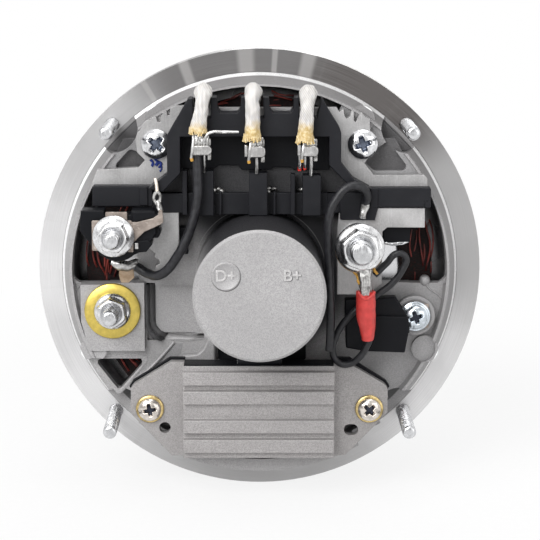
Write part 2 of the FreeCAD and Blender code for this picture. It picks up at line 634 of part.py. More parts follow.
def slip_ring_end_shield():
    body = new_body("slip_ring_end_shield")
    turned(body, "Pan", [
        ("0", "dim.dome_stand - dim.dome_end_wall"),
        ("dim.rear_bearing_radius", "dim.dome_stand - dim.dome_end_wall"),
        ("dim.rear_bearing_radius", SHIELD_BASE),
        ("dim.rim_radius", SHIELD_BASE),
        ("dim.rim_radius", "0"),
        ("dim.rim_top_radius", "dim.rim_height"),
        ("dim.lip_radius", "dim.rim_height"),
        ("dim.floor_radius", "dim.floor_thickness"),
        ("dim.dome_radius", "dim.floor_thickness"),
        ("dim.dome_radius", "dim.dome_stand - dim.dome_edge"),
        ("dim.dome_radius - dim.dome_edge", "dim.dome_stand"),
        ("0", "dim.dome_stand"),
    ])
    seat = new_sketch(body, "SeatSketch", "YZ_Plane")
    polygon(seat, [
        ("-dim.seat_height", "-dim.rim_radius"),
        ("0", "-dim.rim_radius"),
        ("0", "-dim.lip_radius"),
        ("-dim.seat_height", "-dim.lip_radius"),
    ])
    rim = body.newObject("PartDesign::Revolution", "Seat")
    rim.Profile = seat
    rim.ReferenceAxis = (seat, ["H_Axis"])
    rim.Midplane = True
    rim.setExpression("Angle", "2 * dim.seat_half_angle")
    body.Tip = rim
    pad(body, "GroundPad", "0", "dim.ground_pad_stand", [[
        ("dim.ground_pad_left", "dim.ground_pad_high"),
        ("dim.ground_pad_left", "dim.ground_pad_low + dim.ground_pad_rise"),
        ("dim.ground_pad_left + dim.ground_pad_cut", "dim.ground_pad_low"),
        ("dim.ground_pad_right", "dim.ground_pad_low"),
        ("dim.ground_pad_right", "dim.ground_pad_high"),
    ]])
    pad(body, "BoltPillars", "0", "dim.sink_base",
        [many_sided(x, z, "dim.bolt_boss_radius", PILLAR_SIDES) for x, z in BOLTS])
    pad(body, "RectifierPillars", "0", "dim.sink_base",
        [many_sided(side + "dim.rectifier_screw_x", "dim.rectifier_screw_z", "dim.rectifier_boss",
                    PILLAR_SIDES) for side in ("", "-")])
    pad(body, "RegulatorPillars", "0", "dim.regulator_plate_stand - dim.regulator_plate",
        [many_sided(side + "dim.regulator_screw_x", "dim.regulator_middle", "dim.regulator_boss",
                    PILLAR_SIDES) for side in ("", "-")])
    pad(body, "CapacitorPillar", "0", "dim.capacitor_pad_stand",
        [many_sided("dim.capacitor_screw_x", "dim.capacitor_screw_z", "dim.capacitor_pad_radius",
                    ROUND_SIDES)])
    edge = "dim.floor_radius - dim.side_vent_gap"
    side = [
        ("dim.side_vent_inner", "dim.side_vent_low"),
        (edge, "dim.side_vent_low"),
        (f"({edge}) * cos(dim.side_vent_turn)", f"({edge}) * sin(dim.side_vent_turn)"),
        (f"({edge}) * cos(dim.side_vent_end)", f"({edge}) * sin(dim.side_vent_end)"),
        ("dim.side_vent_inner", "dim.side_vent_high"),
    ]
    other_side = [("-(%s)" % x, z) for x, z in side]
    top = [("dim.top_vent_half", "dim.top_vent_low")]
    for number in range(TOP_VENT_POINTS):
        turn = "(%d * dim.top_vent_step + dim.top_vent_first)" % number
        top.append(("dim.top_vent_edge * cos(%s)" % turn, "dim.top_vent_edge * sin(%s)" % turn))
    top.append(("-dim.top_vent_half", "dim.top_vent_low"))
    corner = [
        ("dim.corner_vent_inner", "dim.corner_vent_low"),
        ("dim.corner_vent_outer", "dim.corner_vent_low"),
        ("dim.corner_vent_outer - dim.corner_vent_slope", "dim.corner_vent_high"),
        ("dim.corner_vent_inner", "dim.corner_vent_high"),
    ]
    other_corner = [("-(%s)" % x, z) for x, z in corner]
    foot = [
        ("dim.foot_vent_outer", "dim.foot_vent_high"),
        ("dim.foot_vent_inner", "dim.foot_vent_high"),
        ("dim.foot_vent_tip", "dim.foot_vent_low"),
    ]
    under = rectangle("-dim.under_vent_half", "dim.under_vent_half",
                      "dim.under_vent_low", "dim.under_vent_high")
    pocket(body, "Openings", "dim.floor_thickness", "dim.floor_thickness + dim.register_depth",
           [side, other_side, corner, other_corner, foot, under])
    pocket(body, "TopOpening", "dim.rim_height", "dim.rim_height + dim.register_depth", [top])
    pocket(body, "Tray", "dim.floor_thickness", "dim.tray_depth",
           [rectangle("dim.tray_left", "dim.tray_right", "dim.tray_low", "dim.tray_high")])
    places = at_studs("(dim.ring_radius - dim.stud_inset - dim.stud_relief_shift)")
    pocket(body, "StudRelief", "dim.seat_height", "dim.seat_height",
           [many_sided(x, z, "dim.stud_relief", ROUND_SIDES) for x, z in places])
    room = "dim.holder_half + dim.holder_room"
    pocket(body, "BrushOpening", "dim.holder_base + dim.holder_height + dim.holder_room",
           "dim.holder_height + 2 * dim.holder_room",
           [rectangle("-(%s)" % room, room, "-(dim.dome_radius + 2 * dim.overrun)",
                      "dim.holder_top + 2 * dim.overrun")])


def casing_fasteners():
    body = new_body("mounting_studs")
    pad(body, "Studs", "0", "dim.stud_stand", rounds=[(x, z, "dim.stud_radius") for x, z in STUDS])
    pad(body, "StudRoots", "-dim.ring_thickness", "dim.ring_thickness",
        [many_sided(x, z, "(dim.stud_radius - dim.thread_gap)", HOLE_SIDES) for x, z in STUDS])
    bolts = []
    for number, (x, z) in enumerate(BOLTS):
        shank = prism("BoltShank%d" % number, x, z, "-dim.shell_length",
                      "dim.shell_length + dim.bolt_reach", HOLE_SIDES, "dim.bolt_radius")
        head = prism("BoltHead%d" % number, x, z, "-(dim.shell_length + dim.bolt_head_height)",
                     "dim.bolt_head_height", 6, "dim.bolt_head * " + FLATS_TO_CORNER)
        bolts.append(joined("Bolt%d" % number, [shank, head]))
    named(group("ThroughBolts", bolts), "through_bolts")


def stator():
    body = doc.addObject("PartDesign::Body", "Laminations")
    front = f"-(dim.stator_start + {STATOR_LENGTH})"
    pad(body, "Stack", front, STATOR_LENGTH,
        [many_sided("0", "0", "dim.stator_radius", CORE_SIDES)])
    notches = []
    for x, z in BOLTS:
        notches.append(rectangle(x + " - dim.bolt_room", x + " + dim.bolt_room",
                                 z + " - dim.bolt_room", z + " + dim.bolt_room"))
    pocket(body, "BoltNotches", "-dim.stator_start", STATOR_LENGTH, notches)
    slot = pocket(body, "Slot", "-dim.stator_start", STATOR_LENGTH,
                  [rectangle("-dim.slot_width / 2", "dim.slot_width / 2",
                             "dim.stator_bore - dim.overrun", SLOT_BOTTOM)])
    around_shaft(body, "Slots", [slot], "dim.slot_count")
    teeth = prism("ToothTips", "0", "0", front + " - dim.overrun", STATOR_LENGTH + " + 2 * dim.overrun",
                  "dim.slot_count", "dim.stator_bore / cos(180 deg / dim.slot_count)")
    named(cut("StatorCore", body, [teeth]), "stator_core")
    heads = []
    liner = "dim.slot_liner"
    for name, start in (("Rear", "-(dim.stator_start - %s)" % liner),
                        ("Front", front + " - %s - dim.coil_head" % liner)):
        outer = prism(name + "HeadOuter", "0", "0", start, "dim.coil_head",
                      "dim.slot_count", COIL_OUTER)
        inner = prism(name + "HeadInner", "0", "0", start, "dim.coil_head",
                      "dim.slot_count", COIL_INNER)
        heads.append(cut(name + "Head", outer, [inner]))
    bars = doc.addObject("PartDesign::Body", "Bars")
    bar = pad(bars, "Bar", front + " - " + liner, f"{STATOR_LENGTH} + 2 * {liner}",
              [rectangle("-(dim.slot_width / 2 - %s)" % liner, "dim.slot_width / 2 - " + liner,
                         COIL_INNER + " + dim.bar_inset", f"{SLOT_BOTTOM} - {liner}")])
    around_shaft(bars, "BarPattern", [bar], "dim.slot_count")
    named(joined("Winding", heads + [bars]), "stator_winding")


def claw_pole(label, plate_start, towards_front):
    """A pole plate with six bent claws, cut to the rotor's radius."""
    body = doc.addObject("PartDesign::Body", label + "_blank")
    rotor_radius = "dim.stator_bore - dim.air_gap"
    reach = "(dim.stator_bore + dim.blank_room)"
    pad(body, "Hub", plate_start, "dim.pole_plate",
        [many_sided("0", "0", "dim.pole_hub_radius", HOLE_SIDES)])
    arm = pad(body, "Arm", plate_start, "dim.pole_plate",
              [rectangle("-dim.claw_root_half", "dim.claw_root_half", "dim.arm_root", reach)])
    length = f"({ROTOR_LENGTH} - dim.pole_plate - dim.claw_end_gap)"
    if towards_front:
        root_stand = plate_start
        tip_stand = "(%s) - %s" % (plate_start, length)
        core_start = f"({plate_start}) - ({ROTOR_LENGTH} / 2 - dim.pole_plate)"
    else:
        root_stand = "(%s) + dim.pole_plate" % plate_start
        tip_stand = "(%s) + %s" % (root_stand, length)
        core_start = root_stand
    side = new_sketch(body, "ClawSide", "YZ_Plane", "-dim.claw_root_half")
    polygon(side, [
        ("-(%s)" % root_stand, "dim.claw_root_inner"),
        ("-(%s)" % tip_stand, "dim.claw_tip_inner"),
        ("-(%s)" % tip_stand, reach),
        ("-(%s)" % root_stand, reach),
    ])
    claw = body.newObject("PartDesign::Pad", "Claw")
    claw.Profile = side
    claw.setExpression("Length", "2 * dim.claw_root_half")
    trims = []
    for hand in (1, -1):
        flank = new_sketch(body, "Flank%d" % (hand + 1), "XY_Plane", "dim.claw_root_inner - dim.overrun")
        polygon(flank, [
            ("%d * dim.claw_root_half" % hand, "-(%s)" % root_stand),
            ("%d * dim.claw_tip_half" % hand, "-(%s)" % tip_stand),
            ("%d * (dim.claw_root_half + dim.overrun)" % hand, "-(%s)" % tip_stand),
            ("%d * (dim.claw_root_half + dim.overrun)" % hand, "-(%s)" % root_stand),
        ])
        trim = body.newObject("PartDesign::Pocket", "FlankCut%d" % (hand + 1))
        trim.Profile = flank
        trim.Reversed = True
        trim.setExpression("Length", "dim.claw_trim")
        trims.append(trim)
    body.Tip = trims[1]
    around_shaft(body, "Claws", [arm, claw] + trims, "dim.pole_pairs")
    pad(body, "Core", core_start, ROTOR_LENGTH + " / 2 - dim.pole_plate",
        [many_sided("0", "0", "dim.core_radius", HOLE_SIDES)])
    cutter_start = f"-({ROTOR_START} + {ROTOR_LENGTH} + dim.overrun)"
    cutter_length = ROTOR_LENGTH + " + 2 * dim.overrun"
    turning = cylinder(label + "Turning", "0", "0", cutter_start, cutter_length, rotor_radius)
    whole = doc.addObject("Part::Common", label + "Turned")
    whole.Base = body
    whole.Tool = turning
    bore = prism(label + "Bore", "0", "0", cutter_start, cutter_length, "2 * dim.pole_pairs",
                 "dim.shaft_radius / cos(90 deg / dim.pole_pairs)")
    return named(cut(label + "Bored", whole, [bore]), label)


def rotor():
    body = new_body("rotor_shaft")
    shoulder = f"-({SHAFT_SHOULDER} - dim.shoulder_gap)"
    collar = f"-({BEARING_END} + dim.shoulder_gap)"
    collar_end = f"-({BOSS_END} + dim.collar_proud)"
    thread = f"-({BOSS_END} + dim.nose_length)"
    turned(body, "Shaft", [
        ("0", "dim.shaft_rear"),
        ("dim.shaft_rear_radius", "dim.shaft_rear"),
        ("dim.shaft_rear_radius", "-dim.shaft_step"),
        ("dim.shaft_radius", "-dim.shaft_step"),
        ("dim.shaft_radius", shoulder),
        ("dim.shaft_nose_radius", shoulder),
        ("dim.shaft_nose_radius", collar),
        ("dim.collar_radius", collar),
        ("dim.collar_radius", collar_end),
        ("dim.shaft_nose_radius", collar_end),
        ("dim.shaft_nose_radius", thread),
        ("dim.shaft_thread_radius", thread),
        ("dim.shaft_thread_radius", thread + " - dim.thread_length"),
        ("0", thread + " - dim.thread_length"),
    ])
    key = new_sketch(body, "KeySketch", "XY_Plane", "dim.shaft_nose_radius - dim.key_depth")
    key_start = BOSS_END + " + dim.key_inset"
    polygon(key, rectangle("-dim.key_width / 2", "dim.key_width / 2",
                           key_start, key_start + " + dim.key_length"))
    seat = body.newObject("PartDesign::Pocket", "Keyseat")
    seat.Profile = key
    seat.Reversed = True
    seat.setExpression("Length", "dim.key_depth + dim.overrun")
    body.Tip = seat
    rear_plate = f"-({ROTOR_START} + dim.pole_plate)"
    front_plate = f"-({ROTOR_START} + {ROTOR_LENGTH})"
    claw_pole("slip_ring_side_claw_pole", rear_plate, True)
    opposite = claw_pole("drive_side_claw_pole", front_plate, False)
    opposite.Placement = Placement(Vector(0, 0, 0), Rotation(Vector(0, 1, 0), 30))
    opposite.setExpression("Placement.Rotation.Angle", "180 deg / dim.pole_pairs")
    coil_length = ROTOR_LENGTH + " - 2 * dim.pole_plate - 2 * dim.field_coil_gap"
    coil_start = "%s + dim.pole_plate + dim.field_coil_gap" % front_plate
    outer = prism("FieldCoilOuter", "0", "0", coil_start, coil_length,
                  "4 * dim.pole_pairs", "dim.field_coil_radius")
    inner = prism("FieldCoilInner", "0", "0", coil_start, coil_length, "2 * dim.pole_pairs",
                  "dim.core_radius + dim.field_coil_gap")
    named(cut("FieldCoil", outer, [inner]), "field_coil")


def bearings():
    body = new_body("ball_bearings")
    pad(body, "Drive", "-" + BEARING_END, "dim.drive_bearing_width",
        rounds=[("0", "0", "dim.drive_bearing_radius"),
                ("0", "0", "dim.shaft_nose_radius + dim.bearing_gap")])
    pad(body, "Rear", "dim.rear_bearing_stand", "dim.rear_bearing_width",
        rounds=[("0", "0", "dim.rear_bearing_radius"),
                ("0", "0", "dim.shaft_rear_radius + dim.bearing_gap")])


def brush_gear():
    barrel = prism("SlipRingBarrel", "0", "0", "dim.slip_start", "dim.slip_length", CORE_SIDES,
                   "dim.slip_radius")
    splines = prism("SlipRingSplines", "0", "0", "dim.slip_start - dim.overrun",
                    "dim.slip_length + 2 * dim.overrun", HOLE_SIDES,
                    "dim.shaft_rear_radius / cos(180 deg / %d)" % HOLE_SIDES)
    named(cut("SlipRings", barrel, [splines]), "slip_rings")
    brush_top = "-(dim.slip_radius + dim.brush_gap)"
    brush_foot = brush_top + " - dim.brush_length"
    guide_half = "dim.brush_width / 2 + dim.brush_slide"
    guides = []
    for place_name, steps in (("inner", "0"), ("outer", "1")):
        middle = "dim.brush_stand + %s * dim.brush_pitch" % steps
        base = "%s - dim.brush_thickness / 2" % middle
        blank = box(place_name + "BrushBlank", "-dim.brush_width / 2", "dim.brush_width / 2",
                    brush_foot, brush_top + " + dim.overrun", base, "dim.brush_thickness")
        track = cylinder(place_name + "BrushTrack", "0", "0", base + " - dim.overrun",
                         "dim.brush_thickness + 2 * dim.overrun", "dim.slip_radius + dim.brush_gap")
        named(cut(place_name + "Brush", blank, [track]), place_name + "_brush")
        spring = doc.addObject("Part::Cylinder", place_name + "Spring")
        spring.setExpression("Radius", "dim.spring_radius")
        spring.setExpression("Height", "(%s) - dim.guide_foot" % brush_foot)
        place(spring, "0", "dim.guide_foot", middle)
        named(spring, place_name + "_brush_spring")
        guides.append(box(place_name + "Guide", "-(%s)" % guide_half, guide_half,
                          "dim.guide_foot", "dim.holder_top + dim.overrun", base + " - dim.brush_slide",
                          "dim.brush_thickness + 2 * dim.brush_slide"))
    body = box("HolderBlock", "-dim.holder_half", "dim.holder_half", "dim.holder_foot",
               "dim.holder_top", "dim.holder_base", "dim.holder_height")
    named(cut("BrushHolder", body, guides), "brush_holder")


def fin_profile(foot, direction):
    """The four corners of one fin, top to bottom."""
    corners = [
        ("-dim.block_stand", "%s + %d * dim.fin_width" % (foot, direction)),
        ("-dim.fin_stand", "%s + %d * (dim.fin_width - dim.fin_slope)" % (foot, direction)),
        ("-dim.fin_stand", "%s + %d * dim.fin_slope" % (foot, direction)),
        ("-dim.block_stand", foot),
    ]
    return corners if direction > 0 else corners[::-1]


def regulator():
    body = new_body("regulator_housing")
    middle = "dim.regulator_middle"
    flange = []
    for across, up in ((1, 1), (1, -1), (-1, -1), (-1, 1)):
        flat = ("%d * dim.regulator_flat_half" % across, "%s + %d * dim.regulator_rise" % (middle, up))
        end = ("%d * dim.regulator_half" % across, "%s + %d * dim.regulator_end_half" % (middle, up))
        flange += [flat, end] if across * up > 0 else [end, flat]
    pad(body, "Flange", "dim.regulator_plate_stand - dim.regulator_plate", "dim.regulator_plate", [flange])
    block = new_sketch(body, "BlockSketch", "YZ_Plane", "-dim.block_half")
    upper = [("-dim.block_stand", "%s + dim.block_rise" % middle)]
    for step in (1, 0):
        foot = "%s + dim.fin_first + %d * dim.fin_pitch" % (middle, step)
        upper += fin_profile(foot, 1)
    lower = []
    for step in (0, 1):
        foot = "%s - dim.fin_first - %d * dim.fin_pitch" % (middle, step)
        lower += fin_profile(foot, -1)
    lower.append(("-dim.block_stand", "%s - dim.block_rise" % middle))
    sunk = "-dim.regulator_plate_stand + dim.block_root"
    back = [(sunk, "%s - dim.block_rise" % middle), (sunk, "%s + dim.block_rise" % middle)]
    polygon(block, back + upper + lower)
    fins = body.newObject("PartDesign::Pad", "FinnedBlock")
    fins.Profile = block
    fins.setExpression("Length", "2 * dim.block_half")
    body.Tip = fins
    hole_z = "%s - dim.regulator_hole_drop" % middle
    slot_low = "%s - dim.regulator_hole_radius" % hole_z
    slot_high = "%s + dim.regulator_hole_radius" % hole_z
    pocket(body, "Holes", "dim.regulator_plate_stand", "dim.regulator_plate",
           [rectangle("dim.regulator_slot_x - dim.regulator_slot_half",
                      "dim.regulator_slot_x + dim.regulator_slot_half", slot_low, slot_high),
            many_sided("dim.regulator_screw_x", middle, "dim.regulator_screw_hole", HOLE_SIDES),
            many_sided("-dim.regulator_screw_x", middle, "dim.regulator_screw_hole", HOLE_SIDES)],
           [("dim.regulator_hole_x", hole_z, "dim.regulator_hole_radius")])
    room = "dim.holder_half + dim.holder_room"
    pocket(body, "HolderRecess", "dim.holder_base + dim.holder_height + dim.holder_room",
           "dim.holder_height + 2 * dim.holder_room",
           [rectangle("-(%s)" % room, room, "dim.holder_foot - dim.holder_room", "-dim.dome_radius")])


def diode_outline(across, up):
    return rectangle(across + " - dim.diode_half", across + " + dim.diode_half",
                     up + " - dim.diode_half", up + " + dim.diode_half")


def rectifier():
    body = new_body("negative_heat_sink")
    screws = [many_sided(side + "dim.rectifier_screw_x", "dim.rectifier_screw_z", "dim.screw_hole",
                         HOLE_SIDES) for side in ("", "-")]
    pad(body, "Plate", "dim.sink_base", "dim.sink_thickness", screws + [mirrored([
        ("dim.sink_half", "dim.sink_low"),
        ("dim.sink_half", "dim.sink_arm_high - dim.sink_arm_cut"),
        ("dim.sink_half - dim.sink_arm_bevel", "dim.sink_arm_high"),
        ("dim.sink_web_half", "dim.sink_arm_high"),
        ("dim.sink_web_half", "dim.sink_web_high"),
        ("dim.sink_top_half", "dim.sink_top"),
    ])])
    diodes = new_body("negative_diodes")
    pad(diodes, "Blocks", "dim.sink_base - dim.low_diode_height", "dim.low_diode_height",
        [diode_outline("%d * dim.diode_pitch" % step, "dim.diode_row") for step in (-1, 0, 1)])
    foot = "dim.sink_base + dim.sink_thickness"
    plus = new_body("positive_heat_sink")
    pad(plus, "Plate", foot, "dim.sink_thickness", [[
        ("dim.plus_leg_left", "dim.plus_high"),
        ("dim.plus_leg_left", "dim.plus_leg_low"),
        ("dim.plus_leg_right", "dim.plus_leg_low + dim.plus_leg_slope"),
        ("dim.plus_leg_right", "dim.plus_bar_low + dim.plus_back_rise"),
        ("dim.plus_tab_left", "dim.plus_bar_low + dim.plus_back_rise"),
        ("dim.plus_tab_left", "dim.plus_tab_low"),
        ("dim.plus_tab_right", "dim.plus_tab_low"),
        ("dim.plus_tab_right", "dim.plus_bar_low"),
        (PLUS_RIGHT, "dim.plus_bar_low"),
        (PLUS_RIGHT, "dim.plus_high"),
    ], many_sided("dim.b_plus_x", "dim.b_plus_z", "dim.b_plus_radius", HOLE_SIDES)])
    diodes = new_body("positive_diodes")
    pad(diodes, "Blocks", foot + " - dim.high_diode_height", "dim.high_diode_height", [
        diode_outline("(dim.plus_leg_left + dim.plus_leg_right) / 2", "dim.b_plus_z"),
        diode_outline("dim.b_plus_x", "dim.plus_tab_low + dim.diode_half + dim.diode_inset"),
        diode_outline(PLUS_RIGHT + " - 2 * dim.diode_half", "dim.plus_bar_low - dim.diode_drop"),
    ])
    carrier = new_body("rectifier_carrier")
    outer = [
        ("-dim.sink_half", "dim.plus_high"),
        ("dim.sink_half", "dim.plus_high"),
        ("dim.sink_half", "dim.carrier_arm_high"),
        ("dim.carrier_right + dim.carrier_flare", "dim.carrier_arm_high"),
        ("dim.carrier_right", "dim.carrier_open_low"),
        ("dim.carrier_right", "dim.carrier_shoulder"),
        ("dim.carrier_top_right", "dim.carrier_top"),
        ("dim.carrier_top_left", "dim.carrier_top"),
        ("dim.carrier_left", "dim.carrier_shoulder"),
        ("dim.carrier_left", "dim.carrier_arm_high"),
        ("-dim.sink_half", "dim.carrier_arm_high"),
    ]
    pad(carrier, "Foot", foot, "dim.sink_thickness", [outer])
    upper = [
        ("dim.carrier_right", "dim.carrier_open_low - dim.carrier_side"),
        ("dim.carrier_right", "dim.carrier_shoulder"),
        ("dim.carrier_top_right", "dim.carrier_top"),
        ("dim.carrier_top_left", "dim.carrier_top"),
        ("dim.carrier_left", "dim.carrier_shoulder"),
        ("dim.carrier_left", "dim.carrier_open_low - dim.carrier_side"),
    ]
    pad(carrier, "Walls", foot + " + dim.sink_thickness",
        "dim.carrier_stand - (%s + dim.sink_thickness)" % foot, [upper])
    opening = rectangle("dim.carrier_left + dim.carrier_side", "dim.carrier_right - dim.carrier_side",
                        "dim.carrier_open_low", "dim.carrier_wall_low")
    wall_depth = "dim.carrier_stand - (%s)" % foot
    inside_depth = wall_depth + " - dim.carrier_floor"
    pocket(carrier, "Opening", "dim.carrier_stand", inside_depth, [opening])
    notches = []
    for step in (0, 1):
        left = "dim.carrier_notch_left + %d * dim.carrier_notch_pitch" % step
        notches.append(rectangle(left, left + " + dim.carrier_notch_width",
                                 "dim.carrier_top - dim.carrier_notch_depth",
                                 "dim.carrier_top + dim.overrun"))
    pocket(carrier, "Notches", "dim.carrier_stand", wall_depth, notches)
    channels = []
    for step in range(3):
        middle = "dim.sleeve_first + %d * dim.sleeve_pitch" % step
        channels.append(rectangle(middle + " - dim.lead_channel_half", middle + " + dim.lead_channel_half",
                                  "dim.lead_channel_low", "dim.carrier_top + dim.overrun"))
    pocket(carrier, "LeadChannels", "dim.carrier_stand", wall_depth, channels)
    posts = []
    for step in range(3):
        middle = "dim.post_first + %d * dim.post_pitch" % step
        posts.append(rectangle(middle + " - dim.post_half", middle + " + dim.post_half",
                               "dim.post_low", "dim.post_high"))
    pad(carrier, "Posts", foot + " + dim.carrier_floor", inside_depth, posts)


def flange_nut(label, across, up, seat, flats, flange_radius, height, bore):
    hexagon = prism(label + "Hexagon", across, up, seat, height, 6, "(%s) * %s" % (flats, FLATS_TO_CORNER))
    flange = prism(label + "Flange", across, up, seat, "(%s) / 5" % height, ROUND_SIDES, flange_radius)
    named(bored(label, joined(label + "Solid", [flange, hexagon]), across, up, seat, height, bore), label)


def bored(name, solid, across, up, seat, height, bore):
    """A solid with a twelve-sided hole, by the radius to its corners."""
    hole = prism(name + "Hole", across, up, "(%s) - dim.overrun" % seat, "(%s) + 2 * dim.overrun" % height,
                 HOLE_SIDES, bore)
    return cut(name + "Bored", solid, [hole])


def terminal_stud(label, across, up, base, nut_top, end, radius):
    """Twelve-sided inside its plates and nuts, and round where a cable goes on."""
    held = prism(label + "Held", across, up, base, "%s - (%s)" % (nut_top, base), HOLE_SIDES,
                 radius + " - dim.thread_gap")
    free = cylinder(label + "Free", across, up, nut_top, "%s - (%s)" % (end, nut_top), radius)
    named(joined(label + "Whole", [held, free]), label)


def main_terminal():
    place_x, place_z = "dim.b_plus_x", "dim.b_plus_z"
    foot = "dim.sink_base + dim.sink_thickness"
    nut_top = "dim.b_plus_nut_stand + dim.b_plus_nut_height"
    terminal_stud("b_plus_stud", place_x, place_z, foot, nut_top, "dim.b_plus_stand", "dim.b_plus_radius")
    flange_nut("b_plus_nut", place_x, place_z, "dim.b_plus_nut_stand", "dim.b_plus_flats",
               "dim.b_plus_flange", "dim.b_plus_nut_height", "dim.b_plus_radius")
    lug_base = "dim.b_plus_nut_stand - dim.lug_thickness"
    eye = prism("LugEye", place_x, place_z, lug_base, "dim.lug_thickness", ROUND_SIDES, "dim.lug_radius")
    tongue = box("LugTongue", "dim.b_plus_x - dim.lug_barrel_half", "dim.b_plus_x + dim.lug_barrel_half",
                 "dim.lug_barrel_low", "dim.b_plus_z - dim.lug_overlap", lug_base, "dim.lug_thickness")
    named(bored("RingLug", joined("RingLugSolid", [eye, tongue]), place_x, place_z, lug_base,
                "dim.lug_thickness", "dim.b_plus_radius"), "capacitor_ring_lug")
    sleeve = new_body("red_lug_sleeve")
    taper_end = "dim.red_sleeve_low + dim.red_sleeve_taper"
    pad(sleeve, "Sleeve", "dim.red_sleeve_stand", "dim.red_sleeve_depth", [[
        ("dim.red_sleeve_x - dim.red_sleeve_half", "dim.lug_barrel_low"),
        ("dim.red_sleeve_x - dim.red_sleeve_half", "dim.lug_barrel_low - dim.red_sleeve_mouth"),
        ("dim.red_sleeve_x - dim.red_sleeve_half / 2", taper_end),
        ("dim.red_sleeve_x", "dim.red_sleeve_low"),
        ("dim.red_sleeve_x + dim.red_sleeve_half", taper_end),
        ("dim.red_sleeve_x + dim.red_sleeve_half", "dim.lug_barrel_low"),
    ]])
    spacer_base = foot + " + dim.sink_thickness"
    spacer_height = "%s - (%s)" % (lug_base, spacer_base)
    spacer = prism("SpacerHexagon", place_x, place_z, spacer_base, spacer_height, 6,
                   "dim.b_plus_flats * " + FLATS_TO_CORNER)
    named(bored("Spacer", spacer, place_x, place_z, spacer_base, spacer_height, "dim.b_plus_radius"),
          "b_plus_spacer_nut")


def exciter_terminal():
    nut_top = "dim.d_plus_nut_stand + dim.small_nut_height"
    terminal_stud("d_plus_stud", D_PLUS_X, "dim.d_plus_z", "dim.block_base", nut_top, "dim.d_plus_stand",
                  "dim.d_plus_radius")
    flange_nut("d_plus_nut", D_PLUS_X, "dim.d_plus_z", "dim.d_plus_nut_stand", "dim.d_plus_flats",
               "dim.d_plus_flange", "dim.small_nut_height", "dim.d_plus_radius")
    hole = many_sided(D_PLUS_X, "dim.d_plus_z", "dim.d_plus_radius", HOLE_SIDES)
    block = new_body("d_plus_terminal_block")
    block_foot = "dim.block_base + dim.sink_thickness"
    pad(block, "Block", block_foot, "dim.block_top - (%s)" % block_foot, [[
        (D_PLUS_X + " - dim.block_left", "dim.plus_high"),
        (D_PLUS_X + " - dim.block_left", "dim.block_step_z"),
        (D_PLUS_X + " - dim.block_step", "dim.block_low"),
        (D_PLUS_X + " + dim.block_right - dim.block_cut", "dim.block_low"),
        (D_PLUS_X + " + dim.block_right", "dim.block_low + dim.block_cut_rise"),
        (D_PLUS_X + " + dim.block_right", "dim.plus_high"),
    ], hole])
    tab = new_body("d_plus_tab")
    left, right = D_PLUS_X + " - dim.tab_half", D_PLUS_X + " + dim.tab_half"
    low, high = "dim.d_plus_z - dim.tab_low", "dim.d_plus_z + dim.tab_high"
    pad(tab, "Tab", "dim.block_top", "dim.tab_thickness", [[
        (left, low),
        (right, low),
        (right, low + " + dim.tab_neck"),
        (D_PLUS_X + " + dim.tab_reach", "dim.d_plus_z + dim.tab_end_low"),
        (D_PLUS_X + " + dim.tab_reach", "dim.d_plus_z + dim.tab_end_high"),
        (right + " - dim.tab_corner", high),
        (left + " + dim.tab_corner", high),
        (left, high + " - dim.tab_corner"),
    ], hole])
    lug_x = D_PLUS_X + " + dim.tap_lug_shift"
    lug_base = block_foot + " - dim.tab_thickness"
    eye = prism("TapLugEye", lug_x, "dim.tap_lug_z", lug_base, "dim.tab_thickness", ROUND_SIDES,
                "dim.tap_lug_radius")
    tongue = box("TapLugTongue", lug_x + " - dim.tap_lug_half", lug_x + " + dim.tap_lug_half",
                 "dim.tap_lug_z", "dim.block_low + dim.tap_lug_half", lug_base, "dim.tab_thickness")
    named(joined("TapLug", [eye, tongue]), "tap_lug")


def ground_terminal():
    seat = "dim.ground_pad_stand + dim.ground_washer_thickness"
    terminal_stud("ground_stud", "dim.ground_x", "dim.ground_z", "dim.ground_root",
                  seat + " + dim.small_nut_height", "dim.ground_stand", "dim.d_plus_radius")
    washer = prism("WasherDisc", "dim.ground_x", "dim.ground_z", "dim.ground_pad_stand",
                   "dim.ground_washer_thickness", ROUND_SIDES, "dim.ground_washer")
    named(bored("Washer", washer, "dim.ground_x", "dim.ground_z", "dim.ground_pad_stand",
                "dim.ground_washer_thickness", "dim.d_plus_radius"), "ground_washer")
    flange_nut("ground_nut", "dim.ground_x", "dim.ground_z", seat, "dim.d_plus_flats",
               "dim.ground_flange", "dim.small_nut_height", "dim.d_plus_radius")


def capacitor():
    body = new_body("suppression_capacitor")
    pad(body, "Case", "dim.capacitor_base", "dim.capacitor_stand - dim.capacitor_base", [[
        ("dim.capacitor_left", "dim.capacitor_top"),
        ("dim.capacitor_left", "dim.capacitor_step_z"),
        ("dim.capacitor_step_x", "dim.capacitor_step_z"),
        ("dim.capacitor_step_x - dim.capacitor_slant", "dim.capacitor_low"),
        ("dim.capacitor_right - dim.capacitor_draft", "dim.capacitor_low"),
        ("dim.capacitor_right", "dim.capacitor_top"),
    ]])
    bracket = new_body("capacitor_bracket")
    pad(bracket, "Strap", "dim.capacitor_pad_stand", "dim.bracket_thickness",
        [rectangle("dim.capacitor_right", "dim.capacitor_screw_x + dim.bracket_reach",
                   "dim.capacitor_screw_z - dim.bracket_half",
                   "dim.capacitor_screw_z + dim.bracket_half"),
         many_sided("dim.capacitor_screw_x", "dim.capacitor_screw_z", "dim.bracket_hole", HOLE_SIDES)])


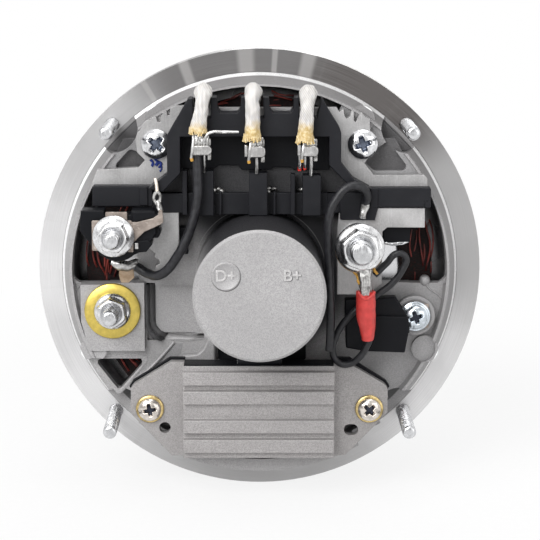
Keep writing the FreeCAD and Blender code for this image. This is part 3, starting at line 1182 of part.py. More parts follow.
def lead_path(points):
    """Straight runs joined by tangent arcs, the arcs in short chords, and each arc's radius."""
    line = [points[0]]
    radii = []
    for number in range(1, len(points) - 1):
        before = points[number] - points[number - 1]
        after = points[number + 1] - points[number]
        half_turn = before.getAngle(after) / 2
        reach = 0.45 * min(before.Length, after.Length)
        radius = reach / math.tan(half_turn)
        axis = before.cross(after)
        enter = points[number] - before.normalize() * reach
        centre = points[number] + (after.normalize() - before).normalize() * (radius / math.cos(half_turn))
        for step in range(LEAD_CHORDS + 1):
            turn = Rotation(axis, math.degrees(2 * half_turn) * step / LEAD_CHORDS)
            line.append(centre + turn.multVec(enter - centre))
        radii.append(radius)
    return line + [points[-1]], radii


def lead(label, radius, route):
    """A wire with six flat sides round its real section, along points of x, stand and z."""
    points = [Vector(across, -stand, up) for across, stand, up in route]
    line, radii = lead_path(points)
    turn = Rotation(Vector(0, 0, 1), points[1] - points[0])
    corners = []
    for number in range(LEAD_SIDES):
        angle = 2 * math.pi * number / LEAD_SIDES
        spoke = Vector(radius * math.cos(angle), radius * math.sin(angle), 0)
        corners.append(points[0] + turn.multVec(spoke))
    section = Part.makePolygon(corners + corners[:1])
    path = Part.makePolygon(line)
    solid = path.makePipeShell([section], True, False, RIGHT_CORNERS)
    item = doc.addObject("Part::Feature", label)
    item.Shape = solid
    item.Label = label
    pieces.append(item)
    share = solid.Volume / (Part.Face(section).Area * path.Length)
    print("%s: length %.1f, radii %s, volume share %.3f"
          % (label, path.Length, " ".join("%.1f" % value for value in radii), share))


def sleeve_centres():
    """The middle line of a sleeve: straight runs joined by an arc in short chords."""
    root = Vector(0, -size("sleeve_root_stand"), size("sleeve_root_z"))
    top = Vector(0, -size("sleeve_top_stand"), size("sleeve_top_z"))
    foot = Vector(0, -size("sleeve_foot_stand"), size("sleeve_foot_z"))
    before = (top - root).normalize()
    after = (foot - top).normalize()
    reach = size("sleeve_bend")
    half_turn = before.getAngle(after) / 2
    centre = top + (after - before).normalize() * (reach / math.sin(half_turn))
    start = top - before * reach - centre
    axis = before.cross(after)
    line = [root]
    for step in range(SLEEVE_CHORDS + 1):
        turn = Rotation(axis, math.degrees(2 * half_turn) * step / SLEEVE_CHORDS)
        line.append(centre + turn.multVec(start))
    return line + [foot]


def sleeves():
    """The three insulating sleeves that bend over the carrier, and the clips at their feet."""
    made = []
    for step in range(3):
        shift = Vector(size("sleeve_first") + step * size("sleeve_pitch"), 0, 0)
        line = [point + shift for point in sleeve_centres()]
        corners = []
        for number in range(SLEEVE_SIDES + 1):
            angle = 2 * math.pi * number / SLEEVE_SIDES
            corners.append(line[0] + Vector(size("sleeve_radius") * math.cos(angle), 0,
                                            size("sleeve_radius") * math.sin(angle)))
        section = Part.makePolygon(corners)
        made.append(Part.makePolygon(line).makePipeShell([section], True, False, RIGHT_CORNERS))
    item = doc.addObject("Part::Feature", "phase_lead_sleeves")
    item.Shape = Part.makeCompound(made)
    item.Label = "phase_lead_sleeves"
    pieces.append(item)
    clips = new_body("phase_terminals")
    outlines = []
    for step in range(3):
        middle = "dim.sleeve_first + %d * dim.sleeve_pitch" % step
        outlines.append(rectangle(middle + " - dim.clip_half", middle + " + dim.clip_half",
                                  "dim.post_high - dim.clip_lap", "dim.sleeve_foot_z - dim.clip_gap"))
    pad(clips, "Clips", "dim.carrier_stand + dim.clip_gap", "dim.clip_thickness", outlines)


def leads():
    lead("phase_tap_lead", size("phase_tap_radius"), [
        (-21.5, 24, 43), (-21.8, 24.8, 26), (-30, 24.8, 7.5), (-41, 13.6, 1), (-47.5, 13.6, 4.5),
    ])
    lead("regulator_lead", size("regulator_lead_radius"), [
        (38.3, 17.6, 24), (38.6, 25.2, 32), (30.5, 25.6, 34.5), (26, 25.2, 15), (26.8, 24, -13),
        (26, 22.5, -28),
    ])
    lead("capacitor_lead", size("capacitor_lead_radius"), [
        (39.5, 22.5, -22.5), (34, 21.8, -29.5), (28.5, 20.5, -23), (35, 19, -11.5),
        (50.5, 18.4, 0), (51.5, 18.4, 9), (45, 19, 8),
    ])


def check_and_write():
    doc.recompute()
    for item in doc.Objects:
        if "Invalid" in item.State or "Error" in item.State:
            raise RuntimeError("%s failed: %s" % (item.Name, item.State))
        if item.TypeId in ("PartDesign::Pocket", "PartDesign::Groove"):
            if item.Shape.Volume >= item.BaseFeature.Shape.Volume:
                owner = item.getParentGeoFeatureGroup().Label
                raise RuntimeError("%s of %s cuts nothing" % (item.Name, owner))
    os.makedirs("parts", exist_ok=True)
    for item in pieces:
        shape = item.Shape
        if shape.isNull() or not shape.isValid() or not shape.Solids:
            raise RuntimeError("%s has no valid solid" % item.Label)
        shape.exportStep("parts/%s.step" % item.Label)
        print("%s: %d solid(s), %.0f mm3" % (item.Label, len(shape.Solids), shape.Volume))


drive_end_shield()
slip_ring_end_shield()
casing_fasteners()
stator()
rotor()
bearings()
brush_gear()
regulator()
rectifier()
main_terminal()
exciter_terminal()
ground_terminal()
capacitor()
sleeves()
leads()
check_and_write()
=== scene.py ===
import math
import random
import bmesh
import bpy
from mathutils import Matrix, Vector, noise


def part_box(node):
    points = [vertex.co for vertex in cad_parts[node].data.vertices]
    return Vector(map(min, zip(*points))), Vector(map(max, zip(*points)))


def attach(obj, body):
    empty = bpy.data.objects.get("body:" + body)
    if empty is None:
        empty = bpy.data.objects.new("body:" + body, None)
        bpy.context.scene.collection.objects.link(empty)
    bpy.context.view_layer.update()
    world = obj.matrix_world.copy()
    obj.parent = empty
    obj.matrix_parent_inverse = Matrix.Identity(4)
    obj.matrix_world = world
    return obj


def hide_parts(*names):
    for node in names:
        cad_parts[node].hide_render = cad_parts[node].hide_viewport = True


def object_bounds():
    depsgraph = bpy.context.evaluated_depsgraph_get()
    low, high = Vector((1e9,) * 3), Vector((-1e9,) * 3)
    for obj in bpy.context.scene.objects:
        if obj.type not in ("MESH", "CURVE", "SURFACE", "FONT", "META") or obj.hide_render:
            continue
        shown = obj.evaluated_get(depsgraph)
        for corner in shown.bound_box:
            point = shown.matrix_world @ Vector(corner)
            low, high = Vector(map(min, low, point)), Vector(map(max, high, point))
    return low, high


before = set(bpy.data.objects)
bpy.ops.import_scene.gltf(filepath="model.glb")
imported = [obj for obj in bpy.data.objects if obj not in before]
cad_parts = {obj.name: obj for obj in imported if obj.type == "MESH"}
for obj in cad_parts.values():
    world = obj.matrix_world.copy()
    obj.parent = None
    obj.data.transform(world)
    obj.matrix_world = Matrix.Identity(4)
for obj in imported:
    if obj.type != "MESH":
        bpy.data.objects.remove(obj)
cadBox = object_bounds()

# Alternator seen from behind with its rear cover off. The frame is in metres and the shaft lies along Y.
# Pieces are given in millimetres: x to the right, z upwards, and "stand", the distance that a point
# stands out behind the ring, towards -Y. Camera, floor and lamps are placed in metres.
mm = 0.001
scene = bpy.context.scene
random.seed(7)
noise.seed_set(7)


# Camera, light and floor

cameraSettings = {"distance": 0.723, "elevation": 10, "lens": 128.5, "sensor": 36,
                  "shiftX": 0.0194, "shiftY": -0.0011, "near": 0.02, "far": 20}


def addCamera(s):
    data = bpy.data.cameras.new("camera")
    data.lens = s["lens"]
    data.sensor_width = s["sensor"]
    data.shift_x = s["shiftX"]
    data.shift_y = s["shiftY"]
    data.clip_start = s["near"]
    data.clip_end = s["far"]
    eye = bpy.data.objects.new("camera", data)
    tilt = math.radians(s["elevation"])
    eye.location = (0, -s["distance"] * math.cos(tilt), s["distance"] * math.sin(tilt))
    eye.rotation_euler = (math.pi / 2 - tilt, 0, 0)
    scene.collection.objects.link(eye)
    scene.camera = eye


addCamera(cameraSettings)
print("camera placed")


class Link:
    # A socket that can be used in sums: 1 - mask adds the Math node for it
    def __init__(self, owner, socket):
        self.owner = owner
        self.socket = socket

    def maths(self, operation, first, second=None):
        values = {0: first}
        if second is not None:
            values[1] = second
        return self.owner.node("ShaderNodeMath", {"operation": operation}, values)

    def __add__(self, other):
        return self.maths("ADD", self, other)

    __radd__ = __add__

    def __sub__(self, other):
        return self.maths("SUBTRACT", self, other)

    def __rsub__(self, other):
        return self.maths("SUBTRACT", other, self)

    def __mul__(self, other):
        return self.maths("MULTIPLY", self, other)

    __rmul__ = __mul__

    def __pow__(self, other):
        return self.maths("POWER", self, other)

    def sine(self):
        return self.maths("SINE", self)

    def size(self):
        return self.maths("ABSOLUTE", self)

    def larger(self, other):
        return self.maths("MAXIMUM", self, other)

    def fade(self, low, high, start=0.0, end=1.0):
        # Smooth step from start to end while the value goes from low to high
        settings = {"interpolation_type": "SMOOTHSTEP"}
        return self.owner.node("ShaderNodeMapRange", settings,
                                {"Value": self, "From Min": low, "From Max": high,
                                 "To Min": start, "To Max": end})


class Nodes:
    # A node tree in the making: node() makes every node, the other methods are short ways to it
    def __init__(self, tree):
        self.tree = tree

    def node(self, kind, settings=None, values=None, output=0):
        made = self.tree.nodes.new(kind)
        for key, value in (settings or {}).items():
            setattr(made, key, value)
        for key, value in (values or {}).items():
            self.feed(made.inputs[key], value)
        return Link(self, made.outputs[output])

    def feed(self, entry, value):
        if isinstance(value, Link):
            self.tree.links.new(value.socket, entry)
        else:
            entry.default_value = value

    def place(self):
        return self.node("ShaderNodeTexCoord", output="Object")

    def ray(self, kind):
        return self.node("ShaderNodeLightPath", output="Is %s Ray" % kind)

    def axis(self, letter, place):
        return self.node("ShaderNodeSeparateXYZ", {}, {"Vector": place}, output=letter)

    def polar(self, across, up):
        # Distance from the shaft's axis and the angle round it
        radius = (across * across + up * up) ** 0.5
        return radius, up.maths("ARCTAN2", up, across)

    def stretched(self, factors, place=None):
        return self.node("ShaderNodeVectorMath", {"operation": "MULTIPLY"},
                         {0: place or self.place(), 1: factors})

    def noise(self, scale, detail=2.0, place=None, roughness=0.5):
        return self.node("ShaderNodeTexNoise", {}, {"Vector": place or self.place(), "Scale": scale,
                                                    "Detail": detail, "Roughness": roughness})

    def cells(self, scale, place=None):
        return self.node("ShaderNodeTexVoronoi", {"feature": "F1"},
                         {"Vector": place or self.place(), "Scale": scale})

    def mix(self, mask, first, second):
        return self.node("ShaderNodeMix", {"data_type": "RGBA"},
                         {"Factor": mask, 6: first, 7: second}, output=2)


class Finish(Nodes):
    # One material, whose shader gets its constants first and its varying inputs from drive()
    def __init__(self, name, **constants):
        self.material = bpy.data.materials.new(name)
        self.material.use_nodes = True
        super().__init__(self.material.node_tree)
        self.shader = self.tree.nodes["Principled BSDF"]
        self.drive(**constants)

    def drive(self, **sockets):
        for key, value in sockets.items():
            self.feed(self.shader.inputs[key.replace("_", " ")], value)

    def bump(self, height, depth, strength=1.0):
        # depth is the height in metres that a change of 1 stands for
        values = {"Height": height, "Distance": depth, "Strength": strength}
        self.drive(Normal=self.node("ShaderNodeBump", {}, values))


def castTone(f, place, dark, light):
    # Shot-blasted skin: fine grain, soft patches, small dark pits; gives its colour and height
    grain = f.noise(2500, 3, place, 0.75)
    fine = f.noise(6000, 1, place)
    patch = f.noise(38, 3, place)
    pits = f.cells(330, place).fade(0.0, 0.07, 1.0, 0.0) * f.noise(120, 1, place).fade(0.55, 0.6)
    base = f.mix(patch.fade(0.35, 0.7), tuple(0.86 * c for c in light[:3]) + (1,), light)
    speckled = f.mix((grain * 0.6 + fine * 0.4).fade(0.40, 0.60), dark, base)
    return f.mix(pits * 0.7, speckled, (0.07, 0.07, 0.07, 1)), grain * 0.7 + patch * 0.4 - pits, grain


def castAluminium():
    # The castings, with painted shade round the bearing's dome, near-black in the openings, on the upper rim
    # and the right, and a painted highlight on the turned chamfer
    f = Finish("castAluminium", Metallic=0.35, Specular_IOR_Level=0.35)
    place = f.place()
    colour, height, grain = castTone(f, place, (0.29, 0.285, 0.287, 1), (0.47, 0.46, 0.463, 1))
    across = f.axis("X", place)
    up = f.axis("Z", place)
    along = f.axis("Y", place)
    rear = along.fade(0.5 * mm, 4.0 * mm, 1.0, 0.0)
    radius, angle = f.polar(across, up)
    aside = angle.fade(-1.9, -1.2) * angle.fade(2.3, 3.0, 1.0, 0.0)
    outer = radius.fade(24.3 * mm, 25.0 * mm)
    # Painted shade round the dome: in its well, between it and the carrier, and on its wall
    well = outer * radius.fade(29 * mm, 38 * mm, 1.0, 0.0) * aside
    under = (outer * up.fade(17 * mm, 22 * mm) * up.fade(58 * mm, 62 * mm, 1.0, 0.0)
             * across.size().fade(30 * mm, 36 * mm, 1.0, 0.0))
    domeWallShade = (radius.fade(22.6 * mm, 23.2 * mm) * radius.fade(24.4 * mm, 25.0 * mm, 1.0, 0.0)
                * along.fade(-54.3 * mm, -53.2 * mm) * aside)
    # Painted near-black shade on the inner walls of the openings, down into the body
    inside = (radius.fade(69.9 * mm, 70.4 * mm, 1.0, 0.0) * along.fade(-1.6 * mm, 0.8 * mm)
              * along.fade(40 * mm, 60 * mm, 1.0, 0.0))
    # Painted shade on the upper rim and towards the right
    rim = radius.fade(69.8 * mm, 70.4 * mm) * angle.fade(0.1, 0.7) * angle.fade(2.5, 2.9, 1.0, 0.0)
    right = across.fade(22 * mm, 48 * mm) * up.fade(-20 * mm, 30 * mm, 1.0, 0.25)
    hollow = f.mix(inside, colour, (0.002, 0.002, 0.002, 1))
    dark = f.mix(well.larger(under).larger(domeWallShade) * rear * 0.96, hollow, (0.012, 0.012, 0.015, 1))
    rightShaded = f.mix(right * rear * 0.22, dark, (0.10, 0.10, 0.105, 1))
    shaded = f.mix(rim * rear * 0.5, rightShaded, (0.13, 0.125, 0.125, 1))
    # Painted highlight: a near-white line on the turned chamfer, which is also smoother
    chamfer = (radius.fade(72.7 * mm, 72.95 * mm) * up.fade(-52 * mm, -44 * mm)
               * along.fade(-0.4 * mm, 0.0, 1.0, 0.0))
    f.drive(Base_Color=f.mix(chamfer, shaded, (0.93, 0.93, 0.935, 1)),
            Roughness=grain.fade(0.3, 0.7, 0.46, 0.62) - chamfer * 0.22)
    f.bump(height * (1 - chamfer), 0.00016, 0.5)
    return f.material


def castMark():
    # Raised letters: smoother than the skin round them, and lighter as a painted highlight
    f = Finish("castMark", Metallic=0.4)
    grain = f.noise(2500, 2)
    f.drive(Base_Color=f.mix(grain.fade(0.3, 0.7), (0.42, 0.41, 0.41, 1), (0.54, 0.53, 0.53, 1)),
            Roughness=grain.fade(0.3, 0.7, 0.38, 0.5))
    return f.material


def dieCast():
    # Die-cast regulator: a little warmer, with faint drawn lines, and painted shade at the right
    f = Finish("dieCast", Metallic=0.3, Specular_IOR_Level=0.4)
    place = f.place()
    colour, height, grain = castTone(f, place, (0.25, 0.24, 0.238, 1), (0.43, 0.412, 0.41, 1))
    drawn = f.noise(1, 2, f.stretched((30, 400, 2400), place)).fade(0.6, 0.72)
    # Painted shade towards the right
    right = f.axis("X", place).fade(26 * mm, 36 * mm)
    f.drive(Base_Color=f.mix(drawn * 0.05 + right * 0.16, colour, (0.13, 0.125, 0.12, 1)),
            Roughness=grain.fade(0.3, 0.7, 0.44, 0.6))
    f.bump(height + drawn * 0.3, 0.00014, 0.55)
    return f.material


def darkCast(name, dark, light):
    # Casting in a plain tone, for webs and for parts that lie in shade
    f = Finish(name, Metallic=0.2, Specular_IOR_Level=0.25)
    colour, height, grain = castTone(f, f.place(), dark, light)
    f.drive(Base_Color=colour, Roughness=grain.fade(0.3, 0.7, 0.55, 0.7))
    f.bump(height, 0.0002, 0.5)
    return f.material


def turnedRing():
    # Ring turned on a lathe: fine circles and streaks that run outwards, with painted shade that changes
    # round it
    f = Finish("turnedRing", Metallic=0.75)
    place = f.place()
    radius, angle = f.polar(f.axis("X", place), f.axis("Z", place))
    circles = f.noise(1, 2, f.node("ShaderNodeCombineXYZ", {}, {"X": radius * 9000, "Y": angle * 2.0}))
    streaks = f.noise(1, 3, f.node("ShaderNodeCombineXYZ", {}, {"X": angle * 14.0, "Y": radius * 12.0}))
    clouds = f.noise(30, 3, place)
    # Painted shade by angle: a darker, browner arc at the top and darker bands at the right, the bottom and
    # the upper left
    top = (angle - 1.40).size().fade(0.58, 0.92, 1.0, 0.0)
    right = (angle - 0.35).size().fade(0.35, 0.85, 1.0, 0.0)
    light = f.mix(clouds.fade(0.35, 0.7), (0.64, 0.635, 0.64, 1), (0.76, 0.755, 0.76, 1))
    low = (angle + 1.55).size().fade(0.25, 0.9, 1.0, 0.0)
    leftTop = (angle - 2.3).size().fade(0.2, 0.7, 1.0, 0.0)
    darkTone = f.mix(angle.fade(1.15, 1.45), (0.108, 0.098, 0.095, 1), (0.165, 0.160, 0.160, 1))
    middle = f.mix(right.larger(low) * 0.7 + leftTop * 0.42, light, (0.29, 0.285, 0.285, 1))
    tone = f.mix(top, middle, darkTone)
    # Five reflections of the lamp's bars, at the angles where they show
    bars = None
    for centre, half in ((1.92, 0.022), (1.635, 0.035), (1.50, 0.012), (1.345, 0.03), (2.12, 0.012)):
        streak = (angle - centre).size().fade(half * 0.6, half * 1.5, 1.0, 0.0)
        bars = streak if bars is None else bars + streak
    marked = f.mix(bars * 0.7, tone, (0.42, 0.41, 0.405, 1))
    f.drive(Base_Color=f.mix(circles.fade(0.35, 0.65) * 0.22 + streaks.fade(0.55, 0.75) * 0.12, marked,
                             (0.30, 0.295, 0.29, 1)),
            Roughness=circles.fade(0.3, 0.7, 0.30, 0.42))
    f.bump(circles, 0.00001, 0.4)
    return f.material


def platedSteel(name, colour, roughness, darkTone=0.6):
    # Plated steel with handling marks and a slightly uneven bath
    f = Finish(name, Metallic=1.0)
    wear = f.noise(420, 3, roughness=0.55)
    marks = f.noise(60, 2, f.stretched((30, 8, 3)))
    darker = tuple(channel * darkTone for channel in colour[:3]) + (1,)
    f.drive(Base_Color=f.mix(wear.fade(0.35, 0.72), darker, colour),
            Roughness=marks.fade(0.3, 0.7, roughness, roughness + 0.16))
    f.bump(wear, 0.00002, 0.25)
    return f.material


def mouldedPlastic(name, colour, roughness, dust=0.35, shine=0.22):
    # Filled moulding compound: faint grain, greyer where it is dusty
    f = Finish(name, Specular_IOR_Level=shine)
    grain = f.noise(1800, 3)
    dusty = f.noise(110, 4).fade(0.45, 0.85)
    specks = f.cells(900).fade(0.0, 0.10, 1.0, 0.0) * f.noise(230, 1).fade(0.60, 0.66)
    pale = tuple(channel + 0.016 for channel in colour[:3]) + (1,)
    tone = f.mix(dusty * dust, colour, pale)
    f.drive(Base_Color=f.mix(specks * 0.5, tone, (0.16, 0.16, 0.17, 1)),
            Roughness=grain.fade(0.3, 0.7, roughness, roughness + 0.12))
    f.bump(grain, 0.00003, 0.5)
    return f.material


def plateAluminium():
    # Sheared plate: faint rolling lines, fine scratches in two directions, dull blotches
    f = Finish("plateAluminium", Metallic=0.65)
    place = f.place()
    rolled = f.noise(1, 3, f.stretched((2600, 90, 90), place))
    scratch = f.noise(1, 2, f.stretched((2400, 300, 160), place)).fade(0.62, 0.68)
    blotch = f.noise(70, 3, place)
    tone = f.mix(blotch.fade(0.35, 0.7), (0.33, 0.325, 0.325, 1), (0.47, 0.465, 0.465, 1))
    fine = f.noise(1900, 3, place, 0.7)
    lines = rolled.fade(0.35, 0.7) * 0.10 + scratch * 0.25 + fine.fade(0.4, 0.6) * 0.22
    f.drive(Base_Color=f.mix(lines, tone, (0.60, 0.59, 0.59, 1)),
            Roughness=blotch.fade(0.3, 0.7, 0.38, 0.54))
    f.bump(rolled * 0.2 + scratch + fine * 0.7, 0.00005, 0.5)
    return f.material


def wovenSleeve(footLow, footHigh):
    # Glass-fibre sleeving: a close braid, and varnish soaked into its lower end
    f = Finish("wovenSleeve", Roughness=0.75, Sheen_Weight=0.15)
    place = f.place()
    wave = f.axis("X", place) * 8200
    run = f.axis("Z", place) * 5200
    braid = (wave + run).sine() * (wave - run).sine()
    fibres = f.noise(1, 3, f.stretched((1500, 700, 260), place))
    soak = f.axis("Z", place) + f.noise(380, 3, place) * (5.5 * mm)
    stain = soak.fade(footLow, footHigh, 1.0, 0.0)
    worn = f.mix(f.noise(700, 2, place).fade(0.55, 0.7) * 0.5, (0.72, 0.70, 0.675, 1),
                 (0.46, 0.50, 0.62, 1))
    cloth = f.mix((fibres * 0.8 + (wave + run).sine() * 0.16).fade(0.22, 0.5), (0.40, 0.38, 0.365, 1), worn)
    varnish = f.mix(f.noise(900, 2, place).fade(0.35, 0.7), (0.52, 0.36, 0.13, 1), (0.72, 0.60, 0.36, 1))
    f.drive(Base_Color=f.mix(stain, cloth, varnish), Roughness=stain.fade(0, 1, 0.8, 0.5))
    f.bump(braid * 0.5 + fibres, 0.00007, 0.8)
    return f.material


def solderMetal():
    f = Finish("solderMetal", Metallic=0.85)
    lumps = f.noise(520, 4, roughness=0.65)
    f.drive(Base_Color=f.mix(lumps.fade(0.35, 0.65), (0.22, 0.215, 0.21, 1), (0.62, 0.615, 0.60, 1)),
            Roughness=lumps.fade(0.3, 0.7, 0.50, 0.28))
    f.bump(lumps, 0.0002, 0.7)
    return f.material


def tinnedStrip(name, dark, light):
    # Thin tinned strip with a warm, slightly tarnished face
    f = Finish(name, Metallic=0.35)
    cloud = f.noise(260, 4)
    rub = f.noise(1, 2, f.stretched((500, 500, 2200)))
    tone = f.mix(cloud.fade(0.3, 0.7), dark, light)
    f.drive(Base_Color=f.mix(rub.fade(0.6, 0.7) * 0.3, tone, (0.76, 0.70, 0.62, 1)),
            Roughness=cloud.fade(0.3, 0.7, 0.38, 0.55))
    f.bump(rub, 0.00002, 0.5)
    return f.material


def enamelWire():
    # Dark red enamel over copper
    f = Finish("enamelWire", Metallic=0.3, Coat_Weight=0.4, Coat_Roughness=0.15)
    shade = f.noise(160, 3)
    f.drive(Base_Color=f.mix(shade.fade(0.3, 0.7), (0.06, 0.006, 0.005, 1), (0.25, 0.030, 0.020, 1)),
            Roughness=shade.fade(0.3, 0.7, 0.28, 0.42))
    f.bump(f.noise(900, 2), 0.00003, 0.4)
    return f.material


def windingBulk():
    # Varnished mass of wire, dark, and painted almost black as the shade in its depth
    f = Finish("windingBulk", Roughness=0.5, Specular_IOR_Level=0.15)
    strands = f.noise(1, 3, f.stretched((900, 900, 3000)))
    f.drive(Base_Color=f.mix(strands.fade(0.45, 0.7), (0.004, 0.003, 0.003, 1), (0.028, 0.006, 0.005, 1)),
            Roughness=strands.fade(0.3, 0.7, 0.35, 0.55))
    f.bump(strands, 0.0004, 0.8)
    return f.material


def wireJacket():
    # Soft black insulation with a satin surface
    f = Finish("wireJacket", Specular_IOR_Level=0.4)
    skin = f.noise(600, 3)
    f.drive(Base_Color=f.mix(skin.fade(0.3, 0.75), (0.010, 0.010, 0.012, 1), (0.022, 0.022, 0.026, 1)),
            Roughness=skin.fade(0.3, 0.7, 0.34, 0.48))
    f.bump(skin, 0.00004, 0.4)
    return f.material


def redSleeve():
    f = Finish("redSleeve", Specular_IOR_Level=0.5)
    skin = f.noise(420, 3)
    dark = f.cells(700).fade(0.0, 0.16, 1.0, 0.0) * f.noise(150, 1).fade(0.5, 0.6)
    tone = f.mix(skin.fade(0.3, 0.7), (0.49, 0.034, 0.030, 1), (0.62, 0.056, 0.050, 1))
    f.drive(Base_Color=f.mix(dark * 0.35, tone, (0.30, 0.02, 0.02, 1)),
            Roughness=skin.fade(0.3, 0.7, 0.36, 0.52))
    f.bump(skin + dark * 0.5, 0.00006, 0.5)
    return f.material


def turnedSteel():
    # Shaft: turned and ground, with fine rings along its length
    f = Finish("turnedSteel", Metallic=1.0)
    place = f.place()
    rings = f.noise(1, 2, f.stretched((60, 5200, 60), place))
    cloud = f.noise(90, 3, place)
    duller = cloud.fade(0.3, 0.7) * 0.6 + rings.fade(0.4, 0.6) * 0.3
    f.drive(Base_Color=f.mix(duller, (0.60, 0.60, 0.61, 1), (0.44, 0.44, 0.45, 1)),
            Roughness=rings.fade(0.3, 0.7, 0.22, 0.34))
    f.bump(rings, 0.00001, 0.4)
    return f.material


def castIron(name, colour):
    f = Finish(name, Metallic=0.8)
    turned = f.noise(1, 2, f.stretched((1600, 1600, 1600)))
    cloud = f.noise(90, 3)
    light = tuple(channel * 1.5 for channel in colour[:3]) + (1,)
    f.drive(Base_Color=f.mix(cloud.fade(0.3, 0.7), colour, light),
            Roughness=turned.fade(0.3, 0.7, 0.38, 0.55))
    f.bump(turned, 0.00004, 0.5)
    return f.material


finishes = {
    "cast": castAluminium(),
    "dieCast": dieCast(),
    "darkCast": darkCast("darkCast", (0.035, 0.035, 0.037, 1), (0.075, 0.074, 0.078, 1)),
    "webCast": darkCast("webCast", (0.23, 0.227, 0.23, 1), (0.37, 0.365, 0.37, 1)),
    # Painted shade for recesses: stud pads, the webs' lower floors, the tray's ramp and the letters' disc
    "recessCast": darkCast("recessCast", (0.085, 0.083, 0.085, 1), (0.135, 0.132, 0.135, 1)),
    "shadeCast": darkCast("shadeCast", (0.05, 0.05, 0.052, 1), (0.11, 0.108, 0.112, 1)),
    "ring": turnedRing(),
    "zinc": platedSteel("zincSteel", (0.76, 0.765, 0.78, 1), 0.20, 0.72),
    "bright": platedSteel("brightScrew", (0.86, 0.865, 0.88, 1), 0.08, 0.75),
    "bluish": platedSteel("bluishScrew", (0.72, 0.78, 0.84, 1), 0.14, 0.7),
    "clip": platedSteel("tinnedClip", (0.72, 0.71, 0.70, 1), 0.26, 0.6),
    "amber": mouldedPlastic("amberVarnish", (0.55, 0.30, 0.06, 1), 0.3, 0.1),
    "redTip": mouldedPlastic("redVarnish", (0.55, 0.03, 0.02, 1), 0.3, 0.1),
    "warm": platedSteel("warmNickel", (0.80, 0.74, 0.68, 1), 0.10, 0.7),
    "gold": platedSteel("goldWasher", (0.78, 0.60, 0.28, 1), 0.22, 0.6),
    "yellow": platedSteel("yellowZinc", (0.72, 0.56, 0.14, 1), 0.34, 0.8),
    "plastic": mouldedPlastic("carrierPlastic", (0.0085, 0.0088, 0.0115, 1), 0.46),
    "terminalPlastic": mouldedPlastic("terminalPlastic", (0.0045, 0.0048, 0.0065, 1), 0.40, 0.16, 0.14),
    "mark": castMark(),
    # Painted shade inside cross recesses; the blue one also carries a painted bluish reflection
    "recess": platedSteel("recessShade", (0.06, 0.065, 0.085, 1), 0.3, 0.5),
    "recessBlueShade": platedSteel("recessBlueShade", (0.20, 0.23, 0.30, 1), 0.22, 0.5),
    "blueMark": mouldedPlastic("blueMark", (0.015, 0.03, 0.16, 1), 0.6, 0.1),
    "plate": plateAluminium(),
    "solder": solderMetal(),
    "strip": tinnedStrip("tinnedStrip", (0.205, 0.168, 0.145, 1), (0.345, 0.293, 0.258, 1)),
    "tan": tinnedStrip("tanStrip", (0.26, 0.17, 0.10, 1), (0.46, 0.35, 0.25, 1)),
    "paleWire": tinnedStrip("paleWire", (0.70, 0.62, 0.54, 1), (0.84, 0.77, 0.70, 1)),
    "wire": enamelWire(),
    "bulk": windingBulk(),
    "jacket": wireJacket(),
    "red": redSleeve(),
    "sleeve": wovenSleeve(57.5 * mm, 62.0 * mm),
    "laminations": castIron("laminations", (0.03, 0.03, 0.032, 1)),
    "poles": castIron("poleSteel", (0.12, 0.115, 0.11, 1)),
    "ground": platedSteel("groundSteel", (0.62, 0.63, 0.65, 1), 0.2),
    "copper": platedSteel("slipCopper", (0.70, 0.36, 0.22, 1), 0.2),
    "turned": turnedSteel(),
    "zincBright": platedSteel("zincBright", (0.92, 0.92, 0.93, 1), 0.15, 0.70),
    "carbon": castIron("brushCarbon", (0.02, 0.02, 0.021, 1)),
}
print("finishes made:", len(finishes))


# Mesh building

def spot(across, stand, up):
    # A place in millimetres, in the frame's metres
    return (across * mm, -stand * mm, up * mm)


def mirrored(side, outline):
    # An outline drawn for the right, for the side that is 1 or -1
    return [(side * across, up) for across, up in outline]


def onCircle(radius, degrees):
    # A point of x and z on a circle round the shaft
    return (radius * math.cos(math.radians(degrees)), radius * math.sin(math.radians(degrees)))


def newObject(name, shape, finish):
    # A bmesh becomes an object with smooth faces
    bmesh.ops.recalc_face_normals(shape, faces=shape.faces)
    mesh = bpy.data.meshes.new(name)
    shape.to_mesh(mesh)
    shape.free()
    made = bpy.data.objects.new(name, mesh)
    scene.collection.objects.link(made)
    mesh.materials.append(finishes[finish])
    smoothFaces(mesh)
    return made


def smoothFaces(mesh):
    for face in mesh.polygons:
        face.use_smooth = True


def bakedObject(name, source, turn=None):
    # A curve or text becomes a mesh object of its own
    bpy.context.view_layer.update()
    mesh = bpy.data.meshes.new_from_object(source)
    bpy.data.objects.remove(source)
    mesh.name = name
    if turn:
        mesh.transform(turn)
    made = bpy.data.objects.new(name, mesh)
    scene.collection.objects.link(made)
    return made


def finishEdges(made, width, segments=2, angle=35):
    # Rounded edges, with flat faces kept flat
    bevel = made.modifiers.new("edges", "BEVEL")
    bevel.width = width
    bevel.segments = segments
    bevel.limit_method = "ANGLE"
    bevel.angle_limit = math.radians(angle)
    bevel.harden_normals = True
    made.modifiers.new("shading", "WEIGHTED_NORMAL").keep_sharp = True
    return made


def settle(made, replaced=(), body="casing"):
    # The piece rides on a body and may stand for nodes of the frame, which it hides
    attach(made, body)
    if replaced:
        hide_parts(*replaced)


